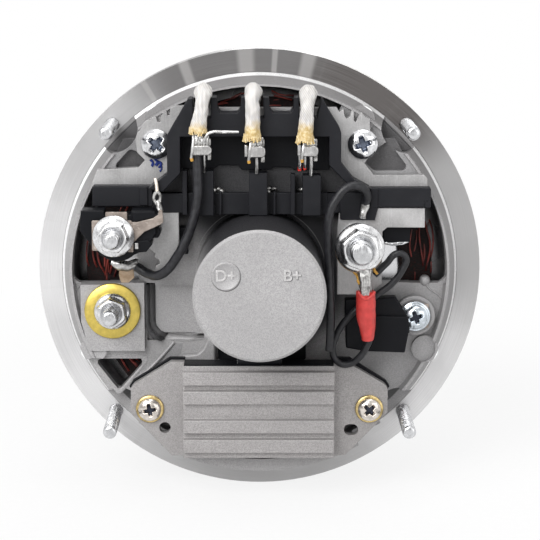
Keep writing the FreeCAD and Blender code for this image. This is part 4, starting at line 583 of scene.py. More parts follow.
def copyNode(node, name, finish, width, cornerWidth=0.0, cornerTest=None, cutters=()):
    # A node's own mesh with its edges rounded, and its upright corners more so
    shape = bmesh.new()
    shape.from_mesh(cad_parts[node].data)
    bmesh.ops.remove_doubles(shape, verts=shape.verts, dist=0.000002)
    bmesh.ops.dissolve_limit(shape, angle_limit=math.radians(1), verts=shape.verts, edges=shape.edges)
    if cornerWidth:
        corners = []
        for edge in shape.edges:
            run = edge.verts[1].co - edge.verts[0].co
            upright = abs(run.y) > 0.98 * run.length
            if upright and len(edge.link_faces) == 2 and edge.calc_face_angle(0) > 0.5:
                if cornerTest is None or cornerTest((edge.verts[0].co + edge.verts[1].co) / 2):
                    corners.append(edge)
        bmesh.ops.bevel(shape, geom=corners, offset=cornerWidth, segments=5, profile=0.5,
                        affect="EDGES", clamp_overlap=True)
    made = newObject(name, shape, finish)
    if cutters:
        carve(made, cutters)
    return finishEdges(made, width)


def rounded(points, radius, steps=5):
    # A closed outline with each corner replaced by an arc
    outline = []
    count = len(points)
    for number in range(count):
        before = Vector(points[number - 1])
        corner = Vector(points[number])
        after = Vector(points[(number + 1) % count])
        inward = (before - corner).normalized()
        outward = (after - corner).normalized()
        half = inward.angle(outward) / 2
        wanted = radius[number] if isinstance(radius, (list, tuple)) else radius
        if (inward + outward).length < 0.05 or wanted < 0.01:
            outline.append(tuple(corner))
            continue
        nearer = min((before - corner).length, (after - corner).length)
        reach = min(wanted / math.tan(half), 0.48 * nearer)
        real = reach * math.tan(half)
        middle = corner + (inward + outward).normalized() * (real / math.sin(half))
        start = corner + inward * reach - middle
        end = corner + outward * reach - middle
        turn = start.angle_signed(end)
        for step in range(steps + 1):
            part = -turn * step / steps
            spoke = Vector((start.x * math.cos(part) - start.y * math.sin(part),
                            start.x * math.sin(part) + start.y * math.cos(part)))
            outline.append(tuple(middle + spoke))
    return outline


def wall(shape, lower, upper):
    # Faces between two closed rows of corners
    for number in range(len(lower)):
        following = (number + 1) % len(lower)
        shape.faces.new((lower[number], lower[following], upper[following], upper[number]))


def closedShape(ends):
    # A closed solid between two like outlines
    shape = bmesh.new()
    rows = [[shape.verts.new(point) for point in end] for end in ends]
    for row in rows:
        shape.faces.new(row)
    wall(shape, *rows)
    return shape


def prismShape(outline, low, high):
    # A closed prism, outlined in x and z, from one stand to another
    return closedShape([[spot(across, stand, up) for across, up in outline] for stand in (low, high)])


def carve(made, cutters):
    # Takes solids out of a piece and clears them away
    for cutter in cutters:
        step = made.modifiers.new("carve", "BOOLEAN")
        step.object = cutter
        step.solver = "EXACT"
    bpy.context.view_layer.update()
    mesh = bpy.data.meshes.new_from_object(made.evaluated_get(bpy.context.evaluated_depsgraph_get()))
    made.modifiers.clear()
    made.data = mesh
    for cutter in cutters:
        bpy.data.objects.remove(cutter)
    return made


def block(name, outline, low, high, finish, edge=0.3, corner=0.0, holes=()):
    # A prism with rounded edges; corner rounds the outline, holes are outlines that go right through
    made = newObject(name, prismShape(rounded(outline, corner) if corner else outline, low, high), finish)
    if holes:
        cutters = [newObject(name + "Hole", prismShape(hole, low - 1, high + 1), finish) for hole in holes]
        carve(made, cutters)
        smoothFaces(made.data)
    return finishEdges(made, edge * mm)


def blocks(rows):
    return [block(*row) for row in rows]


def bar(across, up, width, height):
    # Outline of an upright rectangle, by its lower left corner
    return [(across, up), (across + width, up), (across + width, up + height), (across, up + height)]


def circleOutline(across, up, radius, steps=48):
    return [(across + radius * math.cos(2 * math.pi * n / steps),
             up + radius * math.sin(2 * math.pi * n / steps))
            for n in range(steps)]


def turnedPiece(name, across, up, profile, finish, steps=64, shapeRadius=None):
    # Turned about an axis towards the rear, from pairs of radius and stand.
    # shapeRadius(radius, stand, angle) may change the radius, for flats and threads.
    shape = bmesh.new()
    rings = []
    for radius, stand in profile:
        ring = []
        for number in range(steps):
            angle = 2 * math.pi * number / steps
            real = shapeRadius(radius, stand, angle) if shapeRadius else radius
            corner = spot(across + real * math.cos(angle), stand, up + real * math.sin(angle))
            ring.append(shape.verts.new(corner))
        rings.append(ring)
    for lower, upper in zip(rings, rings[1:]):
        wall(shape, lower, upper)
    for ring in (rings[0], rings[-1]):
        shape.faces.new(ring)
    return newObject(name, shape, finish)


def joinAll(name, parts):
    # Several objects become one, with their modifiers applied first
    bpy.context.view_layer.update()
    graph = bpy.context.evaluated_depsgraph_get()
    shape = bmesh.new()
    materials = []
    for part in parts:
        solid = part.evaluated_get(graph)
        mesh = bpy.data.meshes.new_from_object(solid)
        mesh.transform(part.matrix_world)
        shift = []
        for material in part.data.materials:
            if material not in materials:
                materials.append(material)
            shift.append(materials.index(material))
        for face in mesh.polygons:
            face.material_index = shift[face.material_index] if shift else 0
        shape.from_mesh(mesh)
        bpy.data.meshes.remove(mesh)
    mesh = bpy.data.meshes.new(name)
    shape.to_mesh(mesh)
    shape.free()
    for material in materials:
        mesh.materials.append(material)
    for part in parts:
        bpy.data.objects.remove(part)
    made = bpy.data.objects.new(name, mesh)
    scene.collection.objects.link(made)
    return made


def tube(name, points, radius, finish, resolution=6, taper=None):
    # A wire or lead along points of x, stand and z
    curve = bpy.data.curves.new(name, "CURVE")
    curve.dimensions = "3D"
    curve.bevel_depth = radius * mm
    curve.bevel_resolution = resolution
    curve.use_fill_caps = True
    curve.resolution_u = 10
    spline = curve.splines.new("BEZIER")
    spline.bezier_points.add(len(points) - 1)
    for number, (point, place) in enumerate(zip(spline.bezier_points, points)):
        point.co = spot(*place)
        point.handle_left_type = "AUTO"
        point.handle_right_type = "AUTO"
        point.radius = taper[number] if taper else 1.0
    made = bpy.data.objects.new(name, curve)
    scene.collection.objects.link(made)
    curve.materials.append(finishes[finish])
    return made


def solidTube(name, points, radius, finish, lump=0.0, resolution=6, taper=None):
    # The same as a mesh, with lumps where a real one is uneven
    made = bakedObject(name, tube(name + "Curve", points, radius, finish, resolution, taper))
    if lump:
        for vertex in made.data.vertices:
            vertex.co += noise.noise_vector(vertex.co * 420) * (lump * mm)
    smoothFaces(made.data)
    return made


# Threads, nuts and screws

def threadRadius(pitch, depth):
    def real(radius, stand, angle):
        turn = (stand / pitch - angle / (2 * math.pi)) % 1.0
        return radius - depth * (1 - min(1.0, abs(turn - 0.5) * 2.6))
    return real


def studPiece(name, across, up, low, high, radius, pitch, finish="zinc"):
    depth = 0.55 * pitch
    steps = int((high - low) / pitch * 8)
    profile = [(radius * 0.2, low), (radius, low + 0.05)]
    profile += [(radius, low + 0.1 + (high - low - 0.9) * n / steps) for n in range(steps + 1)]
    profile += [(radius - 0.5, high - 0.25), (radius - 0.9, high), (radius * 0.25, high - 0.05)]
    helix = threadRadius(pitch, depth)

    def real(nominal, stand, angle):
        return helix(nominal, stand, angle) if abs(nominal - radius) < 0.001 else nominal
    return turnedPiece(name, across, up, profile, finish, 40, real)


def flangeNut(name, across, up, seat, flats, flange, height, bore, turn=0.0, finish="zinc"):
    # A hexagon with chamfered corners on a round flange, open in the middle
    half = flats / 2
    corner = half / math.cos(math.pi / 6)

    def real(radius, stand, angle):
        if radius <= bore + 0.01 or stand < seat + 0.29 * height:
            return radius
        inSector = (angle + turn) % (math.pi / 3) - math.pi / 6
        return min(radius, half / math.cos(inSector))
    profile = [(bore, seat), (flange - 0.3, seat), (flange, seat + 0.35), (flange - 0.15, seat + 0.9),
               (corner + 0.1, seat + 0.26 * height), (corner, seat + 0.30 * height),
               (corner, seat + 0.36 * height), (corner, seat + 0.80 * height),
               (half + 0.25, seat + 0.95 * height), (half - 0.5, seat + height),
               (bore + 0.8, seat + height), (bore + 0.02, seat + height - 0.7)]
    return turnedPiece(name, across, up, profile, finish, 120, real)


def washerPiece(name, across, up, seat, radius, bore, thickness, finish):
    edge = min(0.3, thickness / 3)
    profile = [(bore, seat), (radius - edge, seat), (radius, seat + edge),
               (radius, seat + thickness - edge), (radius - edge, seat + thickness),
               (bore + edge, seat + thickness), (bore, seat + thickness - edge)]
    return turnedPiece(name, across, up, profile, finish, 72)


def crossScrew(name, across, up, seat, radius, height, finish, turn=0.3, blade=1.0, inside="recess"):
    # Pan head whose top is a height field with a cross recess, painted darker inside as shade
    shape = bmesh.new()
    spokes = 120
    edge = 0.34 * height

    def top(x, z):
        distance = math.hypot(x, z) / radius
        dome = height - edge - (height - edge) * distance ** 3.2 * 0.8
        along = x * math.cos(turn) + z * math.sin(turn)
        over = -x * math.sin(turn) + z * math.cos(turn)
        depth = 0.0
        for a, b in ((along, over), (over, along)):
            wide = blade * (0.62 - 0.30 * abs(a) / radius)
            within = min(1.0, max(0.0, (wide + 0.25 - abs(b)) / 0.3))
            reach = min(1.0, max(0.0, (radius * 0.64 - abs(a)) / (radius * 0.30)))
            depth = max(depth, within * reach)
        return dome - depth * height * 0.62, depth
    rings = []
    for level in range(1, 23):
        ring = []
        for number in range(spokes):
            angle = 2 * math.pi * number / spokes
            x = radius * (level / 22) * math.cos(angle)
            z = radius * (level / 22) * math.sin(angle)
            ring.append(shape.verts.new(spot(across + x, seat + edge + top(x, z)[0], up + z)))
        rings.append(ring)
    base = [shape.verts.new(spot(x, seat, z)) for x, z in circleOutline(across, up, radius * 0.97, spokes)]
    centre = shape.verts.new(spot(across, seat + edge + top(0, 0)[0], up))
    for number in range(spokes):
        following = (number + 1) % spokes
        shape.faces.new((centre, rings[0][number], rings[0][following]))
        shape.faces.new((rings[-1][following], rings[-1][number], base[number], base[following]))
    for lower, upper in zip(rings, rings[1:]):
        wall(shape, lower, upper)
    shape.faces.new(base)
    made = newObject(name, shape, finish)
    made.data.materials.append(finishes[inside])
    for face in made.data.polygons:
        middle = face.center / mm
        if top(middle.x - across, middle.z - up)[1] > 0.55:
            face.material_index = 1
    return made


# Castings

rearShield = {
    "edge": 0.7, "windowCorner": 3.2, "windowReach": 68.5, "windowFloor": -5.2,
    "windowDepth": -6, "cutTop": 12,
    # Cuts: the tray's groove, a window on each side, a boss and a stretch of the rim's ridge that the
    # photograph doesn't show, and the lower opening
    "groove": [(-42.2, -4.2), (-42.2, -26.2), (-20.8, -25.2), (-20.8, -23.4), (-38.9, -23.6),
               (-38.9, -4.2)],
    "grooveRadii": [0.1, 4.5, 0.1, 0.1, 2.4, 0.1], "grooveFloor": 1.4,
    "lipFoot": [(56.0, -4.2), (69.2, -4.2)], "lipRadius": 69.5, "lipTurn": 28.0, "lipTop": [(56.0, 28.0)],
    "boss": (60.4, -28.4, 5.3, 40), "bossEnd": 6.3,
    "ridge": [(72.9, 206.9), (72.9, 210), (72.9, 214), (72.9, 218), (72.9, 221.6), (62.0, 221.6),
              (63.0, 214.0), (66.0, 209.6), (70.0, 207.3)], "ridgeFloor": 5.06,
    "lowerWindow": [(-60.6, -33.2), (-43.9, -33.2), (-44.2, -35.4), (-52.2, -44.6), (-53.4, -44.6),
                    (-60.8, -35.0)],
    "lowerRadii": [1.4, 1.4, 1.2, 1.6, 1.6, 1.4],
    # Marks on the dome's end: radii with their height over it
    "domeEnd": 55.0, "markDepth": 0.32, "markSize": 5.6,
    "marks": [("exciter", "D+", -11.7, 7.2), ("battery", "B+", 11.4, 7.3)],
    "disc": [(0.4, -0.2), (5.2, -0.2), (5.1, 0.05), (4.75, 0.4), (4.5, 0.4), (4.2, 0.15), (0.4, 0.15)],
    "discFoot": [(4.95, -0.2), (5.2, -0.2), (5.2, 0.07), (4.95, 0.07)],
    # Raised lines, after their radius
    "lines": [
        ("slantedRib", 0.7,
         [(-32.0, 5.0, -26.7), (-37.8, 5.3, -33.4), (-45.2, 5.3, -40.5), (-48.3, 5.0, -43.1)]),
        ("tapLine", 0.45, [(61.9, 5.0, -4.6), (63.6, 5.0, -6.6), (66.6, 5.0, -8.6), (70.0, 5.0, -12.4)]),
        ("padLineOuter", 0.4,
         [(-67.3, 5.0, -5.2), (-68.6, 5.1, -7.6), (-68.0, 5.1, -13.5), (-66.8, 5.0, -19.5)]),
        ("padLineInner", 0.4,
         [(-66.6, 5.0, -4.0), (-66.7, 5.2, -8.6), (-66.6, 5.2, -13.6), (-66.4, 5.0, -19.5)])],
    "turned": [
        ("windowBoss", 61.7, -3.6, [(0.2, 2.0), (2.1, 2.0), (2.0, 4.8), (1.2, 5.7), (0.2, 5.9)],
         "cast", 32),
        ("spotFace", 57.8, -15.8, [(3.0, 8.0), (7.4, 8.0), (7.5, 9.0), (7.15, 9.3), (6.75, 9.1), (6.4, 9.3),
                                   (6.0, 9.05), (3.0, 9.05)], "cast")],
    "blocks": [
        ("ribShade", [(-32.2, -27.2), (-38.0, -33.6), (-45.4, -40.7), (-48.5, -43.3), (-46.2, -43.0),
                      (-32.5, -33.0), (-29.6, -31.4), (-28.6, -27.2)], 3.6, 5.12, "webCast", 0.05),
        ("lowerStep", [(-29.8, -34.0), (-28.8, -31.0), (-23.2, -30.6), (-21.3, -28.7), (-19.2, -24.4),
                       (-16.4, -25.2), (-16.4, -34.0)], 4.2, 8.6, "cast", 0.8, 0.8),
        # Dark plates of painted shade in the opening below the dome and in the slit at the bottom
        ("lowerOpening", [(-15.6, -33.5), (17.4, -33.5), (17.4, -22.0), (-15.6, -22.0)], 4.8, 5.3,
         "terminalPlastic", 0.2, 0.8),
        ("bottomSlit", [(-15.6, -69.8), (14.4, -69.8), (14.4, -71.0), (9.0, -73.0), (-10.0, -73.0),
                        (-15.6, -71.0)], 5.0, 9.2, "terminalPlastic", 0.2, 0.4)],
    # Thin frames of the openings, and a dark sheet of painted shade below them: outer and inner radius
    "frameWidth": 2.2, "frameStands": (1.7, 5.1), "shade": (69.6, 50), "shadeStands": (-5.4, -4.9),
    # Upper webs, drawn for the right: edge, arc with its first turn and its span, opening, lower floor
    "webEdge": [(59.0, 36.6), (40.0, 36.6), (34.0, 46.0), (29.0, 60.0), (30.5, 63.2)],
    "webArc": (70.2, 26.0, 33.0), "webStands": (4.5, 7.6), "webHole": (54.4, 9.8),
    "webFloor": [(57, 36.8), (38, 36.8), (38, 50), (50, 50)], "webFloorStands": (4.6, 5.4),
    "webs": [("upperLeftWeb", -1,
              [(-54.8, 38.2), (-44.9, 38.2), (-41.4, 41.4), (-45.0, 45.2), (-47.6, 46.2)]),
             ("upperRightWeb", 1, [(38.6, 41.2), (42.2, 45.9), (47.2, 49.2), (55.6, 38.2), (42.2, 38.2)])],
    "pads": [("leftStudPad", -54.4, 54.4), ("rightStudPad", 54.4, 54.4)],
    "padSeat": 0.35, "padRadius": 9.6, "padReach": 72.6,
    "fills": [("leftWindowFill", (-70.0, -4.6), (1, 1), 5.5),
              ("rightWindowFill", (70.6, -4.8), (-1, 1), 7.0)],
    # The tray's walls lean from line to line: from the pad down to its floor, and at its foot; the wall and
    # the ramp carry painted shade
    "tray": [[(-42.4, -4.8), (-42.4, -19.5), (-41.6, -22.6), (-39.6, -24.8), (-36.6, -25.8)],
             [(-41.0, -4.8), (-41.0, -19.1), (-40.4, -21.6), (-38.5, -23.8), (-35.5, -25.0)],
             [(-39.2, -4.8), (-39.2, -18.7), (-38.6, -20.9), (-36.9, -22.9), (-34.4, -24.0)]],
    "trayFoot": [[(-36.6, -25.8), (-32.0, -26.2), (-26.0, -26.4), (-20.6, -25.6)],
                 [(-34.4, -24.2), (-30.0, -24.5), (-26.0, -24.9), (-20.6, -24.2)]],
    "trayStands": (8.6, 4.6, 2.6), "trayFootStand": 5.2}


def terminalMark(name, words, across, up, s, swell=0.0, lift=0.0, finish="mark"):
    # Cast letters for the terminals' functions, raised on the dome's end; swell widens their strokes
    text = bpy.data.curves.new(name, "FONT")
    text.body = words
    text.size = s["markSize"] * mm
    text.extrude = s["markDepth"] * mm
    text.bevel_depth = 0.12 * mm
    text.offset = swell * mm
    text.bevel_resolution = 1
    text.align_x = "CENTER"
    text.align_y = "CENTER"
    drawn = bpy.data.objects.new(name + "Text", text)
    scene.collection.objects.link(drawn)
    upright = Matrix.Rotation(math.pi / 2, 4, "X")
    made = bakedObject(name, drawn, Matrix.Translation(spot(across, s["domeEnd"] + lift, up)) @ upright)
    made.data.materials.clear()
    made.data.materials.append(finishes[finish])
    return made


def domeMarks(s):
    # Each mark has a painted shadow, a darker copy a little lower and to one side; the first stands on a
    # raised disc with one too
    discX, discZ = s["marks"][0][2:]
    raised = [(radius, s["domeEnd"] + rise) for radius, rise in s["disc"]]
    foot = [(radius, s["domeEnd"] + rise) for radius, rise in s["discFoot"]]
    made = [turnedPiece("markDisc", discX, discZ, raised, "cast"),
            turnedPiece("discFoot", discX + 0.1, discZ - 0.12, foot, "recessCast")]
    for name, words, x, z in s["marks"]:
        made.append(terminalMark(name + "Mark", words, x, z, s))
        made.append(terminalMark(name + "Foot", words, x + 0.12, z - 0.14, s, 0.06, -0.36, "shadeCast"))
    return made


def windowFrame(name, outline, radii, s):
    # A thin rim that rounds the corners of an opening
    points = [Vector(point) for point in outline]
    middle = sum(points, Vector((0, 0))) / len(points)
    outside = [tuple(point + (point - middle).normalized() * s["frameWidth"]) for point in points]
    return block(name, outside, *s["frameStands"], "cast", 0.35, 0, [rounded(outline, radii)])


def cornerFill(name, corner, way, radius, s):
    # Fills the corner of an opening up to an arc
    outline = [corner]
    for number in range(9):
        angle = math.pi / 2 * number / 8
        outline.append((corner[0] + way[0] * radius * (1 - math.cos(angle)),
                        corner[1] + way[1] * radius * (1 - math.sin(angle))))
    return block(name, outline, *s["frameStands"], "cast", 0.2)


def upperWeb(name, side, opening, s):
    # Web of casting beside a heat sink, with an opening that ends on a lower floor darkened as painted shade
    radius, start, span = s["webArc"]
    place, hole = s["webHole"]
    outline = s["webEdge"] + [onCircle(radius, start + span * number / 16)[::-1] for number in range(17)]
    openings = [rounded(opening, 1.6), circleOutline(side * place, place, hole, 48)]
    web = block(name, mirrored(side, outline), *s["webStands"], "webCast", 0.4, 0, openings)
    floor = block(name + "Floor", mirrored(side, s["webFloor"]), *s["webFloorStands"], "recessCast", 0.2)
    return joinAll(name, [web, floor])


def studPad(name, across, up, s):
    # Spot-faced pad round a mounting stud, cut off by the ring, darker as painted shade
    points = [Vector(point) for point in circleOutline(across, up, s["padRadius"], 64)]
    outline = [tuple(point * min(1.0, s["padReach"] / point.length)) for point in points]
    return block(name, outline, s["padSeat"] - 1.1, s["padSeat"], "recessCast", 0.15)


def slopedBand(name, outer, inner, high, low, finish):
    # A wall that leans from its upper edge down to its foot
    shape = bmesh.new()
    rows = []
    for line, stand in ((outer, high), (inner, low), (inner, low - 1.5), (outer, low - 1.5)):
        rows.append([shape.verts.new(spot(across, stand, up)) for across, up in line])
    rows.append(rows[0])
    for first, second in zip(rows, rows[1:]):
        for number in range(len(outer) - 1):
            shape.faces.new((first[number], first[number + 1], second[number + 1], second[number]))
    for end in (0, -1):
        shape.faces.new([row[end] for row in rows[:4]])
    return newObject(name, shape, finish)


def shieldCutters(s):
    lip = s["lipFoot"] + [onCircle(s["lipRadius"], s["lipTurn"] * n / 12) for n in range(13)] + s["lipTop"]
    ridge = [onCircle(radius, degrees) for radius, degrees in s["ridge"]]
    cuts = [("trayGroove", rounded(s["groove"], s["grooveRadii"]), s["grooveFloor"]),
            ("leftWindowCut", mirrored(-1, lip), s["windowDepth"]),
            ("rightWindowCut", lip, s["windowDepth"]),
            ("bossCut", circleOutline(*s["boss"]), s["bossEnd"]),
            ("ridgeCut", ridge, s["ridgeFloor"]),
            ("lowerCut", rounded(s["lowerWindow"], s["lowerRadii"]), s["windowDepth"])]
    return [newObject(name, prismShape(outline, low, s["cutTop"]), "cast") for name, outline, low in cuts]


def addRearShield(s):
    def inWindow(point):
        return math.hypot(point.x, point.z) < s["windowReach"] * mm and point.y > s["windowFloor"] * mm
    shield = copyNode("slip_ring_end_shield", "rearShield", "cast", s["edge"] * mm,
                      s["windowCorner"] * mm, inWindow, shieldCutters(s))
    settle(shield, ["slip_ring_end_shield"])
    extras = domeMarks(s)
    extras += [tube(name, points, radius, "cast") for name, radius, points in s["lines"]]
    extras += [turnedPiece(*row) for row in s["turned"]] + blocks(s["blocks"])
    extras.append(windowFrame("lowerFrame", s["lowerWindow"], s["lowerRadii"], s))
    extras += [upperWeb(*row, s) for row in s["webs"]] + [studPad(*row, s) for row in s["pads"]]
    extras += [cornerFill(*row, s) for row in s["fills"]]
    sheet, hole = [circleOutline(0, 0, radius, 96) for radius in s["shade"]]
    extras.append(block("innerShade", sheet, *s["shadeStands"], "terminalPlastic", 0.1, 0, [hole]))
    high, middle, low = s["trayStands"]
    extras += [slopedBand("trayWall", s["tray"][0], s["tray"][1], high, middle, "shadeCast"),
               slopedBand("trayRamp", s["tray"][1], s["tray"][2], middle, low, "recessCast"),
               slopedBand("trayFoot", *s["trayFoot"], s["trayFootStand"], low, "cast")]
    for piece in extras:
        settle(piece)


addRearShield(rearShield)

frontShield = {
    "edge": 0.8, "ringInside": 75.6, "ringFront": 0.6, "endFace": 80.0,
    # Parting lines at both sides: distance from the middle and stand
    "parting": [(74.05, -2.5), (74.05, -30), (74.05, -62), (73.9, -70)],
    # Marks of the ejector pins: radii with their depth below the end face
    "ejectorCircle": 61.5, "ejector": [(0.2, -0.05), (2.6, -0.05), (2.7, -0.3), (3.1, -0.35), (3.3, 0.3)],
    "band": [(73.9, -3.2), (74.12, -3.4), (74.12, -9.8), (73.9, -10.0), (73.5, -9.0), (73.5, -4.0)]}


def addFrontShield(s):
    shell = copyNode("drive_end_shield", "frontShield", "cast", s["edge"] * mm)
    shell.data.materials.append(finishes["ring"])
    for face in shell.data.polygons:
        middle = face.center
        onRing = math.hypot(middle.x, middle.z) > s["ringInside"] * mm or middle.y < s["ringFront"] * mm
        face.material_index = 1 if onRing else 0
    settle(shell, ["drive_end_shield"])
    details = []
    for side in (-1, 1):
        line = [(side * x, stand, 0) for x, stand in s["parting"]]
        details.append(tube("partingLine%d" % side, line, 0.35, "cast"))
    profile = [(radius, -s["endFace"] + rise) for radius, rise in s["ejector"]]
    for n in range(3):
        across, up = onCircle(s["ejectorCircle"], 30 + 120 * n)
        details.append(turnedPiece("ejectorMark%d" % n, across, up, profile, "cast", 40))
    details.append(turnedPiece("machinedBand", 0, 0, s["band"], "turned", 160))
    for piece in details:
        settle(piece)


addFrontShield(frontShield)

shaftSettings = {"thread": (-124.9, -105.2), "firstTurn": 0.7, "radius": 8.0, "pitch": 1.5, "cut": 12}


def addShaft(s):
    start, end = s["thread"]
    square = bar(-s["cut"], -s["cut"], 2 * s["cut"], 2 * s["cut"])
    cutter = newObject("threadCut", prismShape(square, start - 1, end), "turned")
    shaft = copyNode("rotor_shaft", "rotorShaft", "turned", 0.3 * mm, cutters=[cutter])
    helix = threadRadius(s["pitch"], 0.6 * s["pitch"])

    def real(nominal, stand, angle):
        return helix(nominal, stand, angle) if nominal == s["radius"] else nominal
    steps = int((end - start) / s["pitch"] * 10)
    first = start + s["firstTurn"]
    profile = [(1.6, start + 1.2), (2.6, start), (s["radius"] - 1.2, start)]
    profile += [(s["radius"], first + (end - first) * n / steps) for n in range(steps + 1)] + [(2.0, end)]
    thread = turnedPiece("shaftThread", 0, 0, profile, "turned", 64, real)
    settle(joinAll("shaft", [shaft, thread]), ["rotor_shaft"], "rotor")


addShaft(shaftSettings)
print("castings dressed")


# Mounting studs and the three terminals

studSettings = {"circle": 77.0, "low": -9.9, "stand": 33.0, "radius": 2.5, "pitch": 0.8}


def addMountingStuds(s):
    studs = [studPiece("mountingStud%d" % turn, *onCircle(s["circle"], turn), s["low"], s["stand"],
                       s["radius"], s["pitch"]) for turn in (45, 135, 225, 315)]
    settle(joinAll("mountingStuds", studs), ["mounting_studs"])


addMountingStuds(studSettings)


def addStudAndNut(name, nodes, s):
    stud = studPiece(name + "Stud", s["x"], s["z"], s["low"], s["stand"], s["radius"], s["pitch"])
    nut = flangeNut(name + "Nut", s["x"], s["z"], s["seat"], s["flats"], s["flange"], s["height"],
                    s["radius"], s["turn"], "zincBright")
    for piece, node in zip((stud, nut), nodes):
        settle(piece, [node])


mainTerminal = {"x": 36.1, "z": 12.8, "radius": 4.0, "low": 12.0, "stand": 42.0, "pitch": 1.25,
                "flats": 13.0, "flange": 8.95, "seat": 27.8, "height": 7.5, "turn": 0.35,
                "spacerSeat": 16.0, "spacerHeight": 10.4, "spacerTurn": 0.1}


def addMainTerminal(s):
    addStudAndNut("main", ("b_plus_stud", "b_plus_nut"), s)
    spacer = flangeNut("spacerNut", s["x"], s["z"], s["spacerSeat"], s["flats"], s["flats"] / 2 + 0.6,
                       s["spacerHeight"], s["radius"], s["spacerTurn"])
    settle(spacer, ["b_plus_spacer_nut"])


addMainTerminal(mainTerminal)

exciterTerminal = {
    "x": -52.5, "z": 17.0, "radius": 3.0, "low": 8.0, "stand": 39.5, "pitch": 1.0, "flats": 10.0,
    "flange": 7.6, "seat": 27.6, "height": 6.0, "turn": 0.15,
    "block": [
        ("exciterCore",
         [(-64.4, 26.0), (-55.9, 26.0), (-55.8, 24.4), (-46.4, 24.4), (-46.2, 26.0), (-38.4, 26.0),
          (-37.2, 24.4), (-37.2, 17.6), (-39.6, 14.0), (-42.0, 11.4), (-46.0, 9.4), (-51.0, 8.2),
          (-57.5, 9.6), (-61.0, 13.6), (-64.8, 18.6)], 16.0, 25.6, "terminalPlastic", 0.4, 0.5),
        ("exciterStep", [(-46.0, 25.6), (-37.6, 25.8), (-37.0, 23.6), (-45.6, 21.8)], 20.0, 26.4,
         "terminalPlastic", 0.3, 0.4),
        ("exciterClip", [(-40.4, 19.4), (-36.0, 19.8), (-35.6, 17.6), (-36.6, 15.8), (-40.0, 15.6)],
         17.0, 24.0, "terminalPlastic", 0.35, 0.5),
        ("exciterTooth", [(-44.6, 15.0), (-40.0, 15.4), (-38.6, 13.8), (-40.8, 11.0), (-44.6, 10.6)],
         17.0, 26.2, "terminalPlastic", 0.35, 0.5)],
    "collar": [(3.2, 20.0), (8.6, 20.0), (8.6, 25.2), (8.1, 25.8), (3.2, 25.8)],
    "tab": [
        ("tabUnder",
         [(-55.4, 25.6), (-47.6, 25.6), (-47.6, 12.0), (-45.4, 11.5), (-45.6, 10.9), (-55.4, 11.5)],
         25.8, 26.5, "strip", 0.15, 0.3),
        ("tabSquare", [(-60.3, 22.6), (-46.0, 22.6), (-45.4, 18.0), (-45.4, 11.6), (-60.3, 11.6)],
         26.5, 27.5, "strip", 0.2, 0.4),
        ("tabStrip",
         [(-47.0, 22.0), (-44.0, 22.0), (-38.6, 23.3), (-36.4, 24.6), (-36.1, 26.6), (-34.9, 26.4),
          (-34.5, 22.0), (-35.4, 21.2), (-41.5, 18.4), (-45.8, 14.2)], 26.2, 27.1, "strip", 0.2, 0.4),
        ("tabNotch", bar(-44.9, 12.2, 1.3, 2.2), 25.0, 27.2, "clip", 0.2)],
    # Soldered loop at the strip's end, with the bare wire above it
    # Each side is bowed by a share of the bow: x, share, stand and z
    "bows": (-1.1, 1.0),
    "loopSide": [(-36.8, 0, 24.6, 33.0), (-36.8, 1, 24.2, 31.2), (-36.8, 0.9, 24.0, 29.2),
                 (-36.2, 0, 24.6, 27.4), (-35.8, 0, 25.6, 25.8)],
    "loopFoot": [(-36.9, 24.0, 29.4), (-36.2, 24.4, 27.8), (-35.6, 25.4, 25.6)],
    "loopWire": [(-36.8, 24.6, 32.6), (-37.0, 24.2, 34.6), (-37.5, 23.4, 37.4)],
    "blob": [(-54.6, 9.4, 4.6), (-51.8, 9.6, 3.4), (-48.8, 9.4, 3.0), (-46.4, 9.2, 4.0), (-44.4, 9.0, 5.0)],
    "blobTaper": [0.6, 1.0, 0.95, 0.8, 0.5],
    "tongue": [(-51.8, 3.0), (-46.8, 3.0), (-46.4, -1.6), (-48.6, -3.6), (-51.4, -3.5), (-52.2, -0.6)]}


def addExciterTerminal(s):
    addStudAndNut("exciter", ("d_plus_stud", "d_plus_nut"), s)
    collar = turnedPiece("exciterCollar", s["x"] + 1.2, s["z"] - 1.0, s["collar"], "terminalPlastic")
    body = joinAll("exciterBlock", blocks(s["block"]) + [collar])
    settle(body, ["d_plus_terminal_block"])
    settle(joinAll("exciterTab", blocks(s["tab"])), ["d_plus_tab"])
    loop = []
    for n, bow in enumerate(s["bows"]):
        route = [(x + bow * share, stand, z) for x, share, stand, z in s["loopSide"]]
        loop.append(solidTube("loopSide%d" % n, route, 0.62, "solder", 0.2, 5))
    loop.append(solidTube("loopFoot", s["loopFoot"], 0.95, "solder", 0.35, 5))
    loop.append(solidTube("loopWire", s["loopWire"], 0.6, "paleWire", 0.05, 5, [1.1, 1.0, 0.9]))
    settle(joinAll("exciterLoop", loop))
    lug = solidTube("tapBlob", s["blob"], 1.9, "clip", 0.35, 8, s["blobTaper"])
    tongue = block("tapTongue", s["tongue"], 7.6, 8.6, "tan", 0.2, 0.6)
    settle(joinAll("tapLug", [lug, tongue]), ["tap_lug"])


addExciterTerminal(exciterTerminal)

groundTerminal = {"x": -54.6, "z": -13.9, "radius": 3.0, "low": 2.0, "stand": 26.0, "pitch": 1.0,
                  "flats": 10.0, "flange": 6.9, "seat": 10.5, "height": 6.0, "turn": 0.4,
                  "washer": 10.4, "pad": 9.0, "thickness": 1.5}


def addGroundTerminal(s):
    addStudAndNut("ground", ("ground_stud", "ground_nut"), s)
    washer = washerPiece("groundWasher", s["x"], s["z"], s["pad"], s["washer"], s["radius"],
                         s["thickness"], "yellow")
    settle(washer, ["ground_washer"])


addGroundTerminal(groundTerminal)
print("terminals made")


# Regulator with its screws

